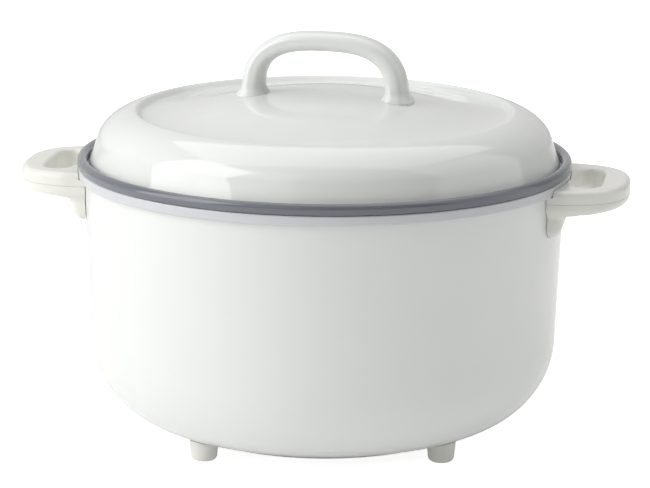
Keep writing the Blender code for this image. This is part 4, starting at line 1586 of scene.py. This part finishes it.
@dataclass
class Base:
    """The base plate, the four feet and their screws."""

    plate_radius: float = 77.0 * MM
    plate_bottom: float = 5.0 * MM
    plate_top: float = 7.7 * MM
    plate_rounding: float = 1.2 * MM
    foot_circle: float = 87.0 * MM
    first_foot: float = 53.5
    foot_top_radius: float = 8.4 * MM
    foot_low_radius: float = 6.9 * MM
    foot_rounding: float = 3.0 * MM
    foot_root: float = 18.0 * MM
    screw_shank: float = 1.6 * MM
    screw_spare: float = 0.15 * MM
    overrun: float = 1.0 * MM

    def build(self) -> None:
        """Make the plate, with room cut for its screws, and the feet."""
        plastic = finish(BASE_PLASTIC)
        white = finish(HANDLE_PLASTIC)
        soft = self.plate_rounding
        edge = self.plate_radius - soft
        outline = [(0.0, self.plate_top), (self.plate_radius, self.plate_top)]
        outline += arc((edge, self.plate_bottom + soft), soft, 0.0, -90.0, 6)
        outline.append((0.0, self.plate_bottom))
        mesh = turned("base_plate_disc", outline)
        for number in range(1, 5):
            mesh = cut(mesh, self.countersink(number))
        show("base_plate_disc", mesh, plastic, Body.SHELL, Slot.BASE, "base_plate")
        foot = self.foot()
        names = ("foot_rear_right", "foot_rear_left", "foot_front_left", "foot_front_right")
        for number, name in enumerate(names):
            turn = math.radians(self.first_foot + 90.0 * number)
            mesh = foot.copy()
            mesh.transform(Matrix.Rotation(turn, 4, "Z"))
            show(f"{name}_moulding", mesh, white, Body.SHELL, Slot.HANDLE, name)

    def countersink(self, number: int) -> bpy.types.Mesh:
        """Return the room that a base plate screw takes, open below.

        Args:
            number: The screw's number.

        Returns:
            A closed mesh a little wider than the screw.
        """
        low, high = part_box(f"base_plate_screw_{number}")
        spare = self.screw_spare
        head = (high.x - low.x) / 2
        shank = self.screw_shank
        neck = low.z + head - shank
        outline = [
            (0.0, high.z + spare),
            (shank + spare, high.z + spare),
            (shank + spare, neck),
            (head + spare, low.z),
            (head + spare, low.z - self.overrun),
            (0.0, low.z - self.overrun),
        ]
        mesh = turned("countersink", outline, SMALL_SEGMENTS)
        mesh.transform(Matrix.Translation(((low.x + high.x) / 2, (low.y + high.y) / 2, 0.0)))
        return mesh

    def foot(self) -> bpy.types.Mesh:
        """Return a foot on the +X side, its top fitted to the shell's corner.

        Returns:
            A closed mesh.
        """
        soft = self.foot_rounding
        low = self.foot_low_radius - soft
        outline = [(0.0, self.foot_root), (self.foot_top_radius, self.foot_root)]
        outline += arc((low, soft), soft, 5.0, -90.0, 8)
        outline.append((0.0, 0.0))
        mesh = turned("foot", outline, SMALL_SEGMENTS)
        mesh.transform(Matrix.Translation((self.foot_circle, 0.0, 0.0)))
        return cut(mesh, SIZES.envelope())


@dataclass
class Lamp:
    """A soft lamp."""

    name: str
    place: tuple[float, float, float]
    aim: tuple[float, float, float]
    size: tuple[float, float]
    power: float
    colour: Colour = (1.0, 1.0, 1.0)

    def build(self) -> None:
        """Make the lamp, looking at its aim."""
        data = bpy.data.lights.new(self.name, "AREA")
        data.shape = "RECTANGLE"
        data.size, data.size_y = self.size
        data.energy = self.power
        data.color = self.colour
        lamp = placed(self.name, data)
        lamp.location = self.place
        way = Vector(self.aim) - Vector(self.place)
        lamp.rotation_euler = way.to_track_quat("-Z", "Y").to_euler()


@dataclass
class Studio:
    """The camera, floor, lamps and room light."""

    aim: tuple[float, float, float] = (0.0, 0.0, 0.101)
    distance: float = 1.8
    elevation: float = 12.9
    azimuth: float = -81.5
    focal_pixels: float = 3393.0
    frame_width: float = 650.0
    sensor: float = 36.0
    roll: float = 0.4
    sideways_pixels: float = 1.0
    room_light: float = 0.305
    room_lean: tuple[float, float, float] = (-0.28, 0.06, 0.12)
    mirror_lean: tuple[float, float, float] = (-0.04, 0.42, 0.0)
    floor_glow: float = 0.82
    floor_bounce: float = 0.16
    floor_radius: float = 9.0
    floor_thickness: float = 0.01
    least_room_light: float = 0.05

    def build(self) -> None:
        """Make the studio."""
        self.build_camera()
        self.build_floor()
        self.build_room()
        for lamp in self.lamps():
            lamp.build()
        bpy.context.scene.view_settings.view_transform = "Standard"

    def lamps(self) -> list[Lamp]:
        """Return the studio's lamps.

        Returns:
            Each lamp with its place, aim, size and power.
        """
        return [
            Lamp("left_wall", (-1.45, -0.9, 1.0), (0.0, -0.6, 0.5), (1.5, 2.0), 24.3),
            Lamp("front_softbox", (-0.74, -1.2, 1.1), (0.0, 0.0, 0.15), (1.5, 1.1), 3.0),
            Lamp("overhead_softbox", (0.0, 0.5, 1.7), (0.0, 0.5, 0.0), (2.2, 1.95), 13.6),
            Lamp("right_wall", (1.5, 0.1, 0.9), (0.0, 0.1, 0.5), (1.6, 1.8), 6.8),
        ]

    def build_camera(self) -> None:
        """Make the camera at the photograph's angle."""
        data = bpy.data.cameras.new("photo_camera")
        data.sensor_width = self.sensor
        data.lens = self.focal_pixels / self.frame_width * self.sensor
        data.shift_x = self.sideways_pixels / self.frame_width
        camera = placed("photo_camera", data)
        lift = math.radians(self.elevation)
        turn = math.radians(self.azimuth)
        level = math.cos(lift)
        way = Vector((level * math.cos(turn), level * math.sin(turn), math.sin(lift)))
        camera.location = Vector(self.aim) + self.distance * way
        look = (-way).to_track_quat("-Z", "Y").to_matrix().to_4x4()
        tilt = Matrix.Rotation(math.radians(self.roll), 4, "Z")
        camera.rotation_euler = (look @ tilt).to_euler()
        bpy.context.scene.camera = camera

    def build_floor(self) -> None:
        """Make the pale floor, which keeps the pot's shadow."""
        edge = self.floor_radius
        under = -self.floor_thickness
        outline = [(0.0, 0.0), (edge, 0.0), (edge, under), (0.0, under)]
        mesh = turned("studio_floor", outline, SMALL_SEGMENTS)
        floor = placed("studio_floor", mesh)
        material = bpy.data.materials.new("pale_floor")
        material.use_nodes = True
        tree = material.node_tree
        shader = tree.nodes["Principled BSDF"]
        drift = noise_node(tree, 6.0, 2.0)
        pale = blend_node(tree, drift, (0.90, 0.90, 0.90, 1.0), (0.88, 0.88, 0.88, 1.0))
        feed(tree, shader, Base_Color=pale, Roughness=0.9, Specular_IOR_Level=0.1)
        seen = seen_directly(tree)
        extra = math_node(tree, "MULTIPLY", seen, self.floor_glow - self.floor_bounce)
        glow = add_node(tree, "ShaderNodeEmission")
        feed(tree, glow, Strength=math_node(tree, "ADD", extra, self.floor_bounce))
        both = add_node(tree, "ShaderNodeAddShader")
        tree.links.new(shader.outputs[0], both.inputs[0])
        tree.links.new(glow.outputs[0], both.inputs[1])
        tree.links.new(both.outputs[0], tree.nodes["Material Output"].inputs["Surface"])
        floor.data.materials.append(material)

    def build_room(self) -> None:
        """Make the room's even light and its white backdrop."""
        world = bpy.data.worlds.new("studio_room")
        bpy.context.scene.world = world
        world.use_nodes = True
        tree = world.node_tree
        tree.nodes.clear()
        room = add_node(tree, "ShaderNodeBackground")
        way = add_node(tree, "ShaderNodeTexCoord")
        leans = []
        for lean in (self.room_lean, self.mirror_lean):
            slope = add_node(tree, "ShaderNodeVectorMath", operation="DOT_PRODUCT")
            for target, source in zip(slope.inputs, (way.outputs["Generated"], lean)):
                fill(tree, target, source)
            leans.append(slope.outputs["Value"])
        path = add_node(tree, "ShaderNodeLightPath")
        mirrored = math_node(tree, "MULTIPLY", leans[1], path.outputs["Is Glossy Ray"])
        level = math_node(tree, "ADD", math_node(tree, "ADD", leans[0], mirrored), self.room_light)
        feed(tree, room, Strength=math_node(tree, "MAXIMUM", level, self.least_room_light))
        backdrop = add_node(tree, "ShaderNodeBackground")
        feed(tree, backdrop, Color=(1.0, 1.0, 1.0, 1.0), Strength=1.0)
        mix = add_node(tree, "ShaderNodeMixShader")
        tree.links.new(seen_directly(tree), mix.inputs[0])
        tree.links.new(room.outputs[0], mix.inputs[1])
        tree.links.new(backdrop.outputs[0], mix.inputs[2])
        output = add_node(tree, "ShaderNodeOutputWorld")
        tree.links.new(mix.outputs[0], output.inputs["Surface"])


def seen_directly(tree: bpy.types.NodeTree) -> bpy.types.NodeSocket:
    """Tell camera and transmission rays from all others.

    Args:
        tree: The tree to build in.

    Returns:
        Socket of the answer, 1 for these rays and else 0.
    """
    path = add_node(tree, "ShaderNodeLightPath")
    return math_node(
        tree, "MAXIMUM", path.outputs["Is Camera Ray"], path.outputs["Is Transmission Ray"]
    )


def main() -> None:
    """Build the studio and every visible piece of the pot."""
    logging.basicConfig(level=logging.INFO, format="%(name)s %(message)s")
    Studio().build()
    Vessel().build()
    InnerPot().build()
    Lid().build()
    SideHandles().build()
    Base().build()
    steel = finish(STEEL)
    for number in range(1, 5):
        dress(
            steel, f"base_plate_screw_{number}", f"foot_screw_{number}", f"liner_screw_{number}"
        )


if __name__ == "__main__":
    main()
